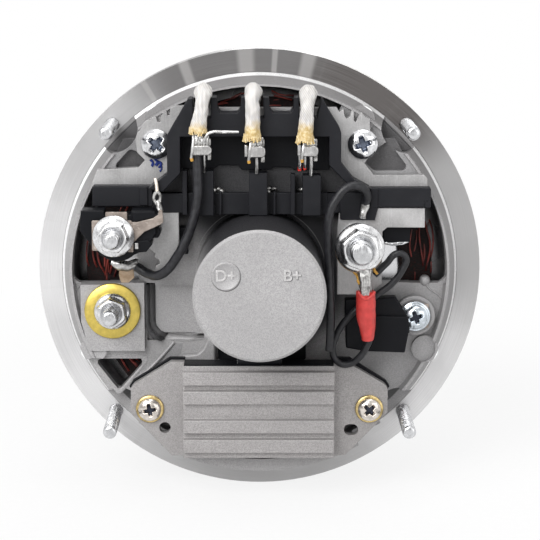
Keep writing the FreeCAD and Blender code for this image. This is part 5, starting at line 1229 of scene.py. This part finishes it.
regulatorSettings = {
    "screwX": 40.5, "middle": -48.9, "washer": 5.2, "bore": 2.6, "washerHeight": 0.9, "head": 4.2,
    "headHeight": 2.6, "floor": 15.2, "top": 19.0, "left": -28.0, "right": 27.4, "low": 25.0, "high": 27.0,
    "flange": [(-47.5, -41.2), (-46.2, -39.6), (-32.6, -31.2), (33.0, -31.9), (46.0, -39.6), (47.3, -41.2),
               (47.3, -50.5), (31.8, -66.8), (-32.5, -66.8), (-47.6, -50.8)],
    "slot": bar(31.3, -59.0, 5.2, 4.1), "spareHole": (-35.0, -56.2, 2.1, 32),
    # Flange and fins are open in front for the brush holder and the brush that slides down in it
    "pocket": bar(-8.2, -47.2, 16.4, 17.2), "pocketStands": (14.0, 22.4),
    # The finned block from the side: z and stand of its ends, and where each fin starts and stops
    "sides": (-31.5, -66.2), "foot": 16.0,
    "ribs": [(-33.4, -38.4), (-40.6, -45.5), (-51.5, -56.4), (-58.8, -63.8)],
    # A dark edge of painted shadow along the flange's upper slants, and the stands it spans
    "shadowEdge": [(48.3, -41.4), (46.9, -39.2), (33.2, -30.5), (27.5, -30.5), (27.5, -33.5), (46.5, -44.0)],
    "shadowEdgeStands": (12.6, 15.1), "shadeZ": -32.0, "shadeHeight": 0.9, "shadeTop": 24.6,
    # Dark strips of painted shade above the block: left, right and the stand where they start
    "shades": [(-27.7, -8.4, 15.4), (-8.4, 8.4, 22.5), (8.4, 27.1, 15.4)]}


def addRegulator(s):
    holes = [circleOutline(*s["spareHole"]), rounded(s["slot"], 1.9, 6), s["pocket"]]
    flange = rounded(s["flange"], 1.2)
    base = block("regulatorFlange", flange, s["floor"], s["top"], "dieCast", 0.45, 0, holes)
    upper, lower = s["sides"]
    profile = [(upper, s["foot"]), (upper, s["low"])]
    for start, end in s["ribs"]:
        profile += [(start + 0.25, s["low"]), (start, s["high"]), (end, s["high"]), (end - 0.15, s["low"])]
    profile += [(lower, s["low"]), (lower, s["foot"])]
    shape = closedShape([[spot(x, stand, up) for up, stand in profile] for x in (s["left"], s["right"])])
    pocket = newObject("brushPocket", prismShape(s["pocket"], *s["pocketStands"]), "dieCast")
    fins = finishEdges(carve(newObject("regulatorFins", shape, "dieCast"), [pocket]), 0.28 * mm)
    settle(joinAll("regulatorHousing", [base, fins]), ["regulator_housing"])
    # Painted shadow along the flange's upper slants and painted shade above the fins, in dark plastic
    dark = "terminalPlastic"
    shadowPieces = [block("regulatorGasket%d" % side, mirrored(side, s["shadowEdge"]), *s["shadowEdgeStands"], dark, 0.2)
               for side in (-1, 1)]
    for n, (start, end, low) in enumerate(s["shades"]):
        shade = bar(start, s["shadeZ"], end - start, s["shadeHeight"])
        shadowPieces.append(block("regulatorShade%d" % n, shade, low, s["shadeTop"], dark, 0.2))
    settle(joinAll("regulatorGasket", shadowPieces))
    for side in (-1, 1):
        across, seat = side * s["screwX"], s["top"] + s["washerHeight"]
        washer = washerPiece("regulatorWasher%d" % side, across, s["middle"], s["top"],
                             s["washer"], s["bore"], s["washerHeight"], "gold")
        settle(washer)
        screw = crossScrew("regulatorScrew%d" % side, across, s["middle"], seat, s["head"], s["headHeight"],
                           "warm", 0.5 + 0.3 * side)
        settle(screw)


addRegulator(regulatorSettings)


# Rectifier: heat sinks, carrier, diodes and screws

rectifierSettings = {
    "screwX": 37.6, "screwZ": 48.6, "top": 12.0, "head": 5.5, "headHeight": 3.4, "hole": (37.0, 48.2, 2.3),
    # The negative sink with its broken edge: on the right from the top down, on the left back up
    "negative": [
        (24.0, 61.8), (28.0, 61.9), (29.0, 60.2), (30.5, 61.4), (30.9, 58.8), (31.8, 57.7), (32.9, 58.6),
        (33.5, 60.8), (34.3, 60.2), (34.3, 57.2), (35.0, 56.5), (35.9, 58.4), (36.9, 60.4), (38.2, 58.6),
        (40.1, 57.7), (40.4, 51.7), (41.0, 49.4), (41.5, 46.0), (38.3, 41.5), (41.8, 37.2), (60.2, 37.2),
        (61.4, 35.8), (61.4, 32.0), (-61.1, 32.0), (-61.1, 34.6), (-59.4, 39.0), (-44.1, 40.0),
        (-41.8, 42.6), (-44.6, 45.4), (-45.3, 50.0), (-44.6, 52.4), (-43.0, 54.3), (-42.4, 56.0),
        (-41.0, 57.2), (-39.4, 57.4), (-38.6, 58.7), (-37.6, 58.4), (-37.2, 56.6), (-36.1, 56.5),
        (-35.8, 58.6), (-35.0, 60.3), (-33.8, 60.3), (-33.5, 58.9), (-32.8, 59.0), (-32.4, 61.6),
        (-30.6, 62.4), (-27.8, 62.5), (-24.0, 61.8)],
    "positive": [
        ("positiveRight",
         [(60.3, 25.6), (43.4, 25.6), (29.3, 25.6), (28.4, 18.0), (28.4, -6.6), (39.4, -6.6), (44.9, -2.6),
          (44.9, 16.8), (46.6, 18.3), (60.4, 18.3)], 12.2, 16.0, "plate", 0.25, 0.3),
        ("positiveLeg",
         [(-44.4, 24.0), (-29.4, 24.0), (-29.4, 12.6), (-30.3, 10.2), (-31.4, 7.6), (-33.4, 4.4),
          (-36.8, 0.9), (-38.1, 2.2), (-38.0, 4.2), (-36.6, 5.0), (-36.9, 6.4), (-38.7, 7.2), (-38.2, 8.8),
          (-40.6, 10.6), (-43.6, 10.9)], 12.2, 16.0, "plate", 0.25),
        ("positiveBack", bar(-44, 25.6, 88, 5.4), 12.4, 15.6, "plate", 0.2)],
    "backing": [(-45.4, 11.6), (-37.4, 11.2), (-35.9, 6.6), (-36.6, 1.4), (-44.4, 1.2)],
    "diodes": [("negative_diodes", "negativeDiodes"), ("positive_diodes", "positiveDiodes")],
    "lip": [(45.4, 10.8, 12.2), (48.0, 10.9, 11.6), (51.0, 10.8, 11.7), (54.8, 10.9, 12.4)],
    "lipTaper": [0.7, 1.0, 1.2, 0.8],
    # Dabs of paint, and solder that shows between the posts: x, z and radius
    "paint": [(-39.6, 42.6, 0.5), (-38.0, 43.0, 0.45), (-37.0, 42.2, 0.5), (-36.6, 40.8, 0.35)],
    "bits": [(-16.6, 31.8, 0.9), (-15.2, 32.3, 0.7), (-14.0, 31.6, 0.8), (3.2, 32.4, 0.6), (3.1, 31.2, 0.7),
             (5.2, 32.4, 0.5), (15.2, 32.2, 0.7), (14.2, 30.2, 0.4), (24.0, 30.2, 0.4)],
    "leadSolder": [(38.9, 18.6, 29.0), (38.4, 19.4, 27.0), (37.9, 19.4, 24.6), (37.6, 18.6, 22.6)],
    "leadTaper": [0.7, 1.2, 0.9, 1.0],
    "busEnd": [(29.6, 13.4, 29.8), (32.0, 13.8, 29.9), (35.0, 13.4, 29.7)]}


def addRectifier(s):
    across, up, radius = s["hole"]
    holes = [circleOutline(side * across, up, radius, 20) for side in (-1, 1)]
    settle(block("negativeSink", s["negative"], 8.0, s["top"], "plate", 0.3, 0, holes),
           ["negative_heat_sink"])
    settle(joinAll("positiveSink", blocks(s["positive"])), ["positive_heat_sink"])
    settle(block("legBacking", s["backing"], 8.0, 11.6, "cast", 0.3))
    for node, name in s["diodes"]:
        settle(copyNode(node, name, "terminalPlastic", 0.4 * mm), [node])
    settle(solidTube("diodeLip", s["lip"], 0.75, "bright", 0.35, 4, s["lipTaper"]))
    for side, turn in ((-1, 0.9), (1, 0.3)):
        screw = crossScrew("rectifierScrew%d" % side, side * s["screwX"], s["screwZ"], s["top"],
                           s["head"], s["headHeight"], "bright", turn, 1.5, "recessBlueShade")
        settle(screw)
    paint = [solidTube("blueMark%d" % n, [(x, 12.1, z), (x + 0.9, 12.3, z - 1.0), (x + 0.2, 12.1, z - 2.2)],
                       radius, "blueMark", 0.5, 4) for n, (x, z, radius) in enumerate(s["paint"])]
    settle(joinAll("blueMarks", paint))
    made = [solidTube("solderBit%d" % n, [(x - 0.6, 14.2, z - 0.3), (x, 15.0, z + 0.1), (x + 0.7, 14.4, z)],
                      radius, "solder", 0.3, 4) for n, (x, z, radius) in enumerate(s["bits"])]
    made.append(solidTube("regulatorSolder", s["leadSolder"], 1.25, "solder", 0.5, 6, s["leadTaper"]))
    made.append(solidTube("busEnd", s["busEnd"], 0.75, "solder", 0.2, 4))
    settle(joinAll("solderBits", made))


addRectifier(rectifierSettings)

# The carrier: a frame with a well painted darker as shade, three posts, thin ribs, a lower wall and an arm
# on each side
carrierSettings = {
    "low": 12.0, "wallLow": 14.0,
    # Outside of the frame, with two gaps in its upper edge, and its inside
    "leftFrame": [(-40.2, 33.4), (-33.3, 38.8), (-33.3, 52.6), (-32.1, 54.8), (-25.6, 65.9), (-23.9, 65.9),
                  (-23.8, 59.0), (-17.6, 59.0)],
    "gaps": [(-15.3, -6.6), (3.4, 12.4)],
    "gapLeft": [(-2.2, 66.4), (0.0, 66.4), (0.3, 62.4), (1.3, 60.8)],
    "gapRight": [(-1.4, 60.8), (-0.2, 62.4), (0.0, 66.4), (1.7, 66.4), (1.8, 59.0), (8.2, 59.0)],
    "rightFrame": [(22.4, 66.3), (24.5, 62.3), (28.7, 55.6), (29.4, 53.6), (29.4, 42.7), (34.0, 36.8),
                   (40.2, 33.4)],
    "inner": [(36.4, 32.2), (31.0, 35.8), (25.0, 42.0), (25.0, 52.2), (-28.5, 52.2), (-28.5, 39.0),
              (-35.0, 32.2)],
    "well": [(-28.8, 53.0), (25.4, 53.0), (25.4, 39.4), (12.2, 39.4), (11.6, 40.3), (5.0, 40.3),
             (4.4, 39.4), (-6.6, 39.4), (-7.6, 41.0), (-14.8, 41.0), (-16.2, 39.8), (-28.8, 39.8)],
    "behind": [(-37.5, 28.0), (-37.5, 32.0), (-30.0, 38.5), (-28.2, 43.0), (25.0, 43.0), (26.0, 41.0),
               (31.8, 36.2), (37.5, 31.8), (37.5, 28.0)],
    "leadRest": [(29.4, 21.4), (42.0, 21.2), (43.2, 25.8), (41.6, 31.5), (29.0, 31.5)],
    # Name, outline, stand at the end, edge and corner
    "arms": [("leftArm", bar(-60.8, 26.2, 22.0, 7.6), 17.4, 0.4, 0.6),
             ("leftArmEnd", bar(-43.6, 26.8, 3.0, 6.8), 18.2, 0.25, 0.4),
             ("rightArm", bar(40.0, 25.9, 22.4, 7.2), 17.0, 0.4, 0.6),
             ("rightArmEnd", bar(40.2, 26.0, 2.8, 7.0), 18.0, 0.25, 0.4),
             ("rightArmLug", bar(60.2, 25.8, 2.1, 2.4), 17.6, 0.25, 0.4)],
    # Left, right and top of each post and rib
    "foot": 23.5, "posts": [(-23.2, -16.6, 39.8), (-3.8, 2.8, 39.1), (15.6, 22.2, 38.2)],
    "ribs": [(-28.0, -26.2, 39.6), (11.3, 12.9, 38.3), (-14.6, -13.8, 31.8), (5.0, 5.8, 31.8)]}


def addCarrier(s):
    outer = list(s["leftFrame"])
    for left, right in s["gaps"]:
        outer += [(left + step, up) for step, up in s["gapLeft"]]
        outer += [(right + step, up) for step, up in s["gapRight"]]
    outer += s["rightFrame"]
    low, wallLow, foot = s["low"], s["wallLow"], s["foot"]
    parts = [block("carrierFrame", outer + s["inner"], low, 22.0, "plastic", 0.3),
             # The well in darker plastic as painted shade
             block("carrierWell", s["well"], low, 14.0, "terminalPlastic", 0.2),
             block("carrierBack", bar(-38.6, 23.8, 76.0, 7.2), low, 16.2, "plastic", 0.2),
             block("carrierWall", bar(-27.8, 23.3, 52.6, 8.0), wallLow, 17.0, "plastic", 0.25),
             # A dark sheet of painted shade behind the carrier, between the posts
             block("carrierBehindShade", s["behind"], low + 0.02, 12.5, "darkCast", 0.1),
             block("leadRest", s["leadRest"], wallLow, 17.6, "plastic", 0.3)]
    for name, outline, high, edge, corner in s["arms"]:
        parts.append(block(name, outline, low, high, "plastic", edge, corner))
    for n, (left, right, top) in enumerate(s["posts"]):
        post = bar(left, foot, right - left, top - foot)
        lip = bar(left - 0.4, foot - 0.1, right - left + 0.8, 3.2)
        parts += [block("post%d" % n, post, wallLow, 21.6, "plastic", 0.25, 0.3),
                  block("postLip%d" % n, lip, wallLow, 18.6, "plastic", 0.2)]
    for n, (left, right, top) in enumerate(s["ribs"]):
        rib = bar(left, foot, right - left, top - foot)
        parts.append(block("rib%d" % n, rib, wallLow, 19.2, "plastic", 0.2))
    settle(joinAll("carrier", parts), ["rectifier_carrier"])


addCarrier(carrierSettings)
print("rectifier and regulator made")


# Sleeves and phase terminals

sleeveSettings = {
    "radius": 2.6,
    "routes": [
        [(-20.6, 2, 61.9), (-20.3, 11, 63.2), (-20.1, 19, 66.6), (-20.0, 24.2, 68.4), (-20.3, 26.4, 65.4),
         (-21.1, 26.6, 60.5), (-22.0, 26.0, 54.6)],
        [(-2.6, 2, 61.9), (-2.4, 11, 63.2), (-2.3, 19, 66.6), (-2.3, 24.2, 68.4), (-2.6, 26.4, 65.2),
         (-2.3, 26.6, 59.5), (-2.6, 26.0, 52.2)],
        [(17.7, 2, 61.9), (17.5, 11, 63.0), (17.4, 19, 66.0), (17.3, 24.2, 67.5), (17.0, 26.4, 64.4),
         (16.7, 26.6, 58.5), (16.3, 26.0, 51.4)]],
    "thickness": [0.95, 0.95, 1.12, 1.26, 0.92, 1.0, 1.12],
    "fibres": 26, "fibre": 0.34}


def addSleeves(s):
    made = []
    for number, route in enumerate(s["routes"]):
        sleeve = solidTube("phaseSleeve%d" % number, route, s["radius"], "sleeve", 0.45, 12, s["thickness"])
        made.append(sleeve)
        across, stand, up = route[-1]
        # Frayed end: short fibres that spread out
        for n in range(s["fibres"]):
            angle = 2 * math.pi * n / s["fibres"] + random.uniform(-0.1, 0.1)
            spread = random.uniform(1.0, 1.22)
            dx, dy = s["radius"] * 1.08 * math.cos(angle), s["radius"] * math.sin(angle)
            drop = random.uniform(0.5, 1.5)
            fibre = [(across + dx * reach, stand + dy * reach, up + rise)
                     for reach, rise in ((1.0, 1.6), (1.06, 0.0), (spread, -drop))]
            made.append(solidTube("fray%d" % n, fibre, s["fibre"], "sleeve", 0.0, 2))
    settle(joinAll("phaseSleeves", made), ["phase_lead_sleeves"])


addSleeves(sleeveSettings)

clipSettings = {
    # Band: left, low, width and height. Pins: x, end and radius
    "clips": [
        {"band": (-24.0, 46.1, 6.9, 3.6), "head": 53.4, "side": -24.4, "redTips": 0,
         "pins": [(-19.9, 39.4, 0.5)]},
        {"band": (-3.6, 45.2, 5.7, 4.2), "head": 51.4, "side": -5.4, "redTips": 0,
         "pins": [(-1.1, 39.1, 0.6)]},
        {"band": (15.4, 45.6, 5.6, 4.0), "head": 50.6, "side": 13.6, "redTips": 2,
         "pins": [(14.4, 40.5, 0.6), (16.3, 40.8, 0.5), (18.5, 38.4, 0.65)]}],
    "strands": 6, "strand": 0.55, "corners": [0.4, 1.7, 1.7, 0.4],
    # Loose bare wire beside the left sleeve
    "wire": [(-19.9, 26.4, 50.4), (-19.6, 26.8, 51.8), (-18.9, 27.0, 53.2), (-17.6, 27.0, 54.2),
             (-12.5, 27.0, 54.4), (-7.4, 27.0, 54.4)],
    "wireTaper": [1, 1, 1, 1, 1, 0.75]}


def phaseClip(number, clip, s):
    # A soldered clip: its band, the strip behind with bent sides above and below, strands and pins
    left, low, width, height = clip["band"]
    head, top, right = clip["head"], low + height, left + width
    band = bar(left, low, width, height)
    made = [block("clipBand%d" % number, band, 22.6, 27.4, "clip", 0.7, s["corners"])]
    for name, outline, high, finish, edge in (
            ("clipStrip", bar(clip["side"], low + 0.2, 1.3, height + 0.1), 26.2, "clip", 0.3),
            ("clipTop", bar(right - 2.3, top - 0.4, 2.0, 2.6), 25.4, "solder", 0.4),
            ("clipFoot", bar(right - 1.6, low - 2.0, 1.4, 2.4), 25.0, "solder", 0.4)):
        made.append(block(name + str(number), outline, 22.4, high, finish, edge))
    for n in range(s["strands"]):
        x = left + 0.9 + n * (width - 2.6) / 5
        bend = x + random.uniform(-0.3, 0.3)
        route = [(x + 0.5, 25.6, head + 0.8), (bend, 26.6, top + 0.8), (x, 25.6, top - 0.8)]
        made.append(solidTube("strand%d" % n, route, s["strand"], "solder", 0.25, 4))
    tail = [(left + 0.5, 26.8, head), (left, 27.6, low + height * 0.5), (left - 0.3, 26.8, low - 1.0)]
    made.append(solidTube("tail%d" % number, tail, s["strand"], "clip", 0.1, 4))
    tip = [(left - 0.3, 26.8, low - 0.9), (left - 0.1, 26.6, low - 2.0)]
    made.append(solidTube("tailTip%d" % number, tip, 0.6, "amber", 0.1, 4))
    for n, (x, end, radius) in enumerate(clip["pins"]):
        pin = [(x, 24.4, low + 1), (x + 0.1, 23.6, (low + end) / 2), (x, 22.2, end)]
        made.append(solidTube("pin%d" % number, pin, radius, "clip", 0.08, 5))
        if n < clip["redTips"]:
            tip = [(x, 22.4, end + 0.9), (x, 22.1, end - 0.4)]
            made.append(solidTube("pinTip%d" % number, tip, radius * 1.15, "redTip", 0.05, 4))
    return made


def addPhaseTerminals(s):
    made = []
    for number, clip in enumerate(s["clips"]):
        made += phaseClip(number, clip, s)
    made.append(solidTube("bareWire", s["wire"], 0.68, "clip", 0.05, 6, s["wireTaper"]))
    settle(joinAll("phaseTerminals", made), ["phase_terminals"])


addPhaseTerminals(clipSettings)


# Leads

leadSettings = {
    "phaseTap": {"node": "phase_tap_lead", "radius": 1.75,
                 "points": [(-22.6, 24.6, 46.0), (-22.2, 24.9, 38), (-22.4, 24.9, 29.6),
                            (-25.1, 24.9, 18.7), (-29.5, 24.0, 9.5), (-36.1, 20.0, 1.6), (-41, 15.5, 1.2),
                            (-45.2, 13.8, 3.4)]},
    "regulator": {"node": "regulator_lead", "radius": 1.55,
                  "points": [(38.1, 18.6, 26.5), (38.8, 21.5, 31.4), (35.5, 24.4, 34.6), (31.6, 25.2, 34.4),
                             (28.2, 25.4, 31.0), (25.2, 25.4, 24.5), (24.8, 25.2, 14.7), (25.4, 25.0, 0),
                             (25.9, 24.6, -14.9), (25.6, 22.8, -26.0)]},
    "capacitor": {"node": "capacitor_lead", "radius": 1.25,
                  "points": [(40.4, 22.4, -21.5), (39.4, 22.0, -24.4), (36.6, 21.2, -29.0),
                             (32.4, 20.6, -31.8), (28.8, 20.2, -31.0), (26.9, 19.8, -27.2),
                             (28.3, 19.4, -21.0), (32.2, 19.0, -14.9), (36.6, 18.7, -10.8),
                             (43.0, 18.4, -6.2), (48.2, 18.4, -2.2), (52.4, 18.4, 3.5), (53.4, 18.4, 7.6),
                             (50.5, 18.6, 9.2), (46.2, 18.8, 5.4), (42.0, 19.0, 1.2)]},
}


def addLeads(settings):
    for name, s in settings.items():
        settle(solidTube(name + "Lead", s["points"], s["radius"], "jacket", 0.05, 8),
               [s["node"]])


addLeads(leadSettings)

lugSettings = {
    "x": 36.1, "z": 12.3, "eye": 8.9, "bore": 4.2, "stand": 26.4, "thickness": 1.4,
    "neck": [(37.6, 26.4, 6.4), (38.0, 27.0, 2.6), (38.2, 26.8, -1.4), (38.3, 26.0, -5.2)],
    "neckTaper": [1.0, 0.98, 0.88, 0.8],
    # Four wires from the eye into the sleeve: start, step from wire to wire, stand and z
    "wire": [(36.4, 1.1, 28.2, 5.0), (36.8, 0.85, 29.0, 1.0), (37.2, 0.7, 28.0, -4.6)],
    "stains": [(33.6, 5.0), (34.9, 3.0), (41.2, 5.2), (35.4, 1.0)],
    "sleeve": [(38.5, 25.2, -3.6), (38.6, 25.2, -7.5), (38.7, 24.8, -12.6), (39.3, 24.4, -17.6),
               (39.5, 24.0, -21.9)],
    "sleeveRadius": 3.45, "sleeveTaper": [1.0, 1.04, 1.02, 0.86, 0.62],
    # Open mouth of the sleeve
    "mouth": [(35.6, 27.8, -3.4), (37.0, 28.6, -5.0), (38.6, 28.8, -5.8), (40.2, 28.6, -5.0),
              (41.6, 27.8, -3.4)]}


def addRingLug(s):
    eye = washerPiece("lugEye", s["x"], s["z"], s["stand"], s["eye"], s["bore"], s["thickness"], "tan")
    parts = [eye, solidTube("lugNeck", s["neck"], 2.6, "solder", 0.55, 10, s["neckTaper"])]
    for n in range(4):
        route = [(x + n * step, stand, z) for x, step, stand, z in s["wire"]]
        parts.append(solidTube("lugWire%d" % n, route, 0.7, "solder", 0.3, 4))
    for n, (x, z) in enumerate(s["stains"]):
        route = [(x, 26.8, z), (x + 0.5, 27.2, z - 1.2), (x + 1.2, 26.8, z - 2.2)]
        parts.append(solidTube("lugStain%d" % n, route, 0.5, "amber", 0.2, 4))
    settle(joinAll("ringLug", parts), ["capacitor_ring_lug"])
    sleeve = solidTube("redSleeve", s["sleeve"], s["sleeveRadius"], "red", 0.14, 14, s["sleeveTaper"])
    mouth = solidTube("redMouth", s["mouth"], 0.55, "red", 0.1, 5)
    settle(joinAll("redLugSleeve", [sleeve, mouth]), ["red_lug_sleeve"])


addRingLug(lugSettings)
print("leads and sleeves made")


# Capacitor

capacitorSettings = {
    "screwX": 57.8, "screwZ": -15.8, "pad": 9.0, "head": 4.3, "headHeight": 2.8,
    "body": [
        ("capacitorBody",
         [(42.6, -14.5), (55.0, -14.9), (55.0, -20.9), (53.7, -28.5), (38.4, -27.9), (32.0, -26.6),
          (31.5, -14.0)], 9.4, 16.0, "terminalPlastic", 0.5, 0.5),
        ("capacitorUpper", [(31.5, -8.8), (50.1, -7.8), (55.2, -15.8), (31.5, -15.8)], 9.4, 14.8,
         "terminalPlastic", 0.5, 0.5),
        ("capacitorFoot", bar(53.6, -22.0, 2.0, 2.6), 9.4, 12.0, "terminalPlastic", 0.3)],
    # Radius of each washer and its seat over the pad
    "washers": [(5.6, 1.2), (4.9, 1.8)]}


def addCapacitor(s):
    settle(joinAll("capacitor", blocks(s["body"])), ["suppression_capacitor"])
    settle(copyNode("capacitor_bracket", "capacitorBracket", "strip", 0.2 * mm),
           ["capacitor_bracket"])
    across, up = s["screwX"], s["screwZ"]
    for n, (radius, seat) in enumerate(s["washers"]):
        settle(washerPiece("capacitorWasher%d" % n, across, up, s["pad"] + seat, radius, 2.6, 0.6, "bluish"))
    screw = crossScrew("capacitorScrew", across, up, s["pad"] + 2.4, s["head"], s["headHeight"], "bluish",
                       0.35, 1.1, "recess")
    settle(screw)


addCapacitor(capacitorSettings)


# Winding heads: a dark mass with loops of wire over it

windingSettings = {
    "inner": 53.2, "outer": 64.6, "loops": 110, "wire": 0.45, "span": (0.5, 1.3), "waver": 1.6,
    "dip": (0.2, 2.0), "endDip": 4.0, "strand": 0.34,
    # Strands that show in the openings: x, stand and z
    "strands": [
        [(57.6, -3, 17), (56.6, -2, 12), (56.4, -2, 8), (57.5, -3, 3), (58.6, -6, -2)],
        [(59.2, -3, 17), (58.8, -2, 11), (58.0, -3, 5), (58.4, -6, 0)],
        [(60.0, -3, 18), (59.8, -1, 13), (60.6, -1, 7), (61.4, -2, 2), (61.2, -5, -2)],
        [(61.6, -3, 19), (62.6, -1, 15), (63.9, -1, 10), (63.6, -1, 5), (62.6, -2, 0), (62.8, -5, -3)],
        [(63.4, -4, 19), (64.6, -1, 15), (65.0, -1, 9), (64.2, -3, 3)],
        [(64.4, -3, 4), (64.6, -2, 0), (64.2, -3, -2.5)],
        [(-63.8, -3, 14), (-64.6, -1, 9), (-64.8, -1, 4), (-64.0, -3, 0)],
        [(-62.0, -3, 13), (-62.6, -1, 8), (-62.0, -1, 3), (-61.2, -2, 0.5)],
        [(-60.0, -3, 12), (-60.8, -1, 7), (-60.0, -1, 2), (-58.6, -2, -1), (-57.6, -3, -3)],
        [(-57.6, -3, 10), (-56.4, -1, 6), (-57.2, -1, 2), (-58.0, -2, -2.5)],
        [(-55.4, -3, 8), (-54.2, -1, 5), (-55.6, -1, 1), (-56.2, -2, -2)],
        [(-53.0, -3, 4), (-53.8, -1, 0), (-54.6, -2, -3)],
        [(-14.5, -2, 62.4), (-11.5, -1, 63.6), (-8.0, -1, 65.4), (-4.5, -2, 66.0)],
        [(-13.0, -2, 63.2), (-9.5, -1, 64.2), (-6.5, -1, 66.2)],
        [(4.5, -2, 66.8), (8.0, -1, 65.4), (11.5, -1, 65.2), (13.5, -3, 65.0)],
        [(5.5, -2, 65.0), (8.5, -1, 64.4), (12.0, -1, 63.4)],
        [(-53.5, -3, -32.5), (-51.6, -1, -36.0), (-49.6, -2, -39.5)],
        [(-50.6, -3, -32.0), (-49.0, -1, -34.6), (-47.2, -2, -36.0)],
        [(-48.4, -3, -32.0), (-46.6, -1, -34.4), (-45.6, -2, -35.6)],
    ]}


def addWinding(s):
    node = "stator_winding"
    low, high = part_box(node)
    bulk = copyNode(node, "windingBulk", "bulk", 0.5 * mm)
    wires = []
    for end, near in ((1, -low.y / mm), (-1, -high.y / mm)):
        curve = bpy.data.curves.new("windingWires", "CURVE")
        curve.dimensions = "3D"
        curve.bevel_depth = s["wire"] * mm
        curve.bevel_resolution = 2
        for _ in range(s["loops"]):
            start = random.uniform(0, 2 * math.pi)
            span = random.uniform(*s["span"])
            spline = curve.splines.new("BEZIER")
            spline.bezier_points.add(5)
            base = random.uniform(s["inner"] + 1, s["outer"] - 1)
            for step, point in enumerate(spline.bezier_points):
                angle = start + span * step / 5
                radius = base + random.uniform(-s["waver"], s["waver"])
                dip = random.uniform(*s["dip"]) + (s["endDip"] if step in (0, 5) else 0.0)
                point.co = spot(radius * math.cos(angle), near - end * dip, radius * math.sin(angle))
                point.handle_left_type = "AUTO"
                point.handle_right_type = "AUTO"
        drawn = bpy.data.objects.new("windingWires%d" % end, curve)
        scene.collection.objects.link(drawn)
        curve.materials.append(finishes["wire"])
        wires.append(drawn)
    strands = [solidTube("strand%d" % n, route, s["strand"], "wire", 0.0, 3)
               for n, route in enumerate(s["strands"])]
    settle(bulk, [node])
    for drawn in wires + [joinAll("windingStrands", strands)]:
        settle(drawn)


addWinding(windingSettings)
print("winding made")


# Nodes that keep their own mesh and get a finish

keptNodes = {
    "through_bolts": "zinc", "stator_core": "laminations",
    "slip_ring_side_claw_pole": "poles", "drive_side_claw_pole": "poles", "field_coil": "bulk",
    "ball_bearings": "ground", "slip_rings": "copper", "inner_brush": "carbon", "outer_brush": "carbon",
    "inner_brush_spring": "ground", "outer_brush_spring": "ground", "brush_holder": "plastic",
}


def dressNodes(finishOf):
    for node, finish in finishOf.items():
        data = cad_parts[node].data
        data.materials.clear()
        data.materials.append(finishes[finish])


dressNodes(keptNodes)


# Floor and light

floorSettings = {"half": 1.6, "drop": 0.4, "near": 0.16, "far": 0.42, "nearWhite": 0.84}


def floorFinish(s):
    # White to the camera and in reflections, plain and pale for light; near the object it keeps the shadow
    f = Finish("floorPaper", Roughness=0.9, Specular_IOR_Level=0.1)
    place = f.place()
    grain = f.noise(400, 2, place)
    f.drive(Base_Color=f.mix(grain.fade(0.3, 0.7), (0.78, 0.78, 0.78, 1), (0.82, 0.82, 0.82, 1)))
    away, _ = f.polar(f.axis("X", place), f.axis("Y", place))
    seen = f.ray("Camera").larger(f.ray("Glossy")).larger(f.ray("Transmission"))
    white = f.node("ShaderNodeEmission", {}, {"Strength": 1.0})
    factor = seen * away.fade(s["near"], s["far"], s["nearWhite"], 1.0)
    paper = f.node("ShaderNodeMixShader", {}, {0: factor, 1: Link(f, f.shader.outputs[0]), 2: white})
    f.feed(f.tree.nodes["Material Output"].inputs["Surface"], paper)
    return f.material


def addFloor(s):
    shape = bmesh.new()
    level = cadBox[0][2] - s["drop"] * mm
    half = s["half"]
    corners = [(-half, -half), (half, -half), (half, half), (-half, half)]
    shape.faces.new([shape.verts.new((x, y, level)) for x, y in corners])
    mesh = bpy.data.meshes.new("floor")
    shape.to_mesh(mesh)
    shape.free()
    floor = bpy.data.objects.new("floor", mesh)
    scene.collection.objects.link(floor)
    mesh.materials.append(floorFinish(s))


addFloor(floorSettings)

lampSettings = [
    {"name": "key", "at": (-0.55, -0.95, 0.70), "size": 0.85, "power": 17.5},
    {"name": "fill", "at": (0.80, -0.80, 0.20), "size": 0.9, "power": 3.5},
    {"name": "top", "at": (0.1, -0.2, 1.1), "size": 0.7, "power": 3.5},
    {"name": "back", "at": (0.3, 1.1, 0.6), "size": 0.9, "power": 6.0},
]


def addLamps(lamps):
    for s in lamps:
        data = bpy.data.lights.new(s["name"], "AREA")
        data.size = s["size"]
        data.energy = s["power"]
        lamp = bpy.data.objects.new(s["name"], data)
        lamp.location = s["at"]
        lamp.rotation_euler = (-Vector(s["at"])).to_track_quat("-Z", "Y").to_euler()
        scene.collection.objects.link(lamp)


addLamps(lampSettings)


worldSettings = {"light": 0.30, "front": 0.5, "overhead": 0.3, "ahead": (-0.55, 0.15), "above": (0.1, 0.5)}


def addWorld(s):
    # White behind the object where it is seen or mirrored, and a dimmer studio in front of it
    world = bpy.data.worlds.new("studio")
    scene.world = world
    world.use_nodes = True
    n = Nodes(world.node_tree)
    way = n.node("ShaderNodeTexCoord", output="Generated")
    studio = n.axis("Y", way).fade(*s["ahead"], s["front"], 1.0)
    overhead = n.axis("Z", way).fade(*s["above"], 0.0, s["overhead"])
    mirrored = n.node("ShaderNodeMath", {"operation": "ADD", "use_clamp": True}, {0: studio, 1: overhead})
    seen = n.ray("Camera").larger(n.ray("Transmission"))
    glossy = n.node("ShaderNodeMix", {}, {"Factor": n.ray("Glossy"), 2: s["light"], 3: mirrored})
    power = n.node("ShaderNodeMix", {}, {"Factor": seen, 2: glossy, 3: 1.0})
    background = world.node_tree.nodes["Background"]
    n.feed(background.inputs["Color"], (1, 1, 1, 1))
    n.feed(background.inputs["Strength"], power)


addWorld(worldSettings)
scene.view_settings.view_transform = "Standard"
print("stage and light set")
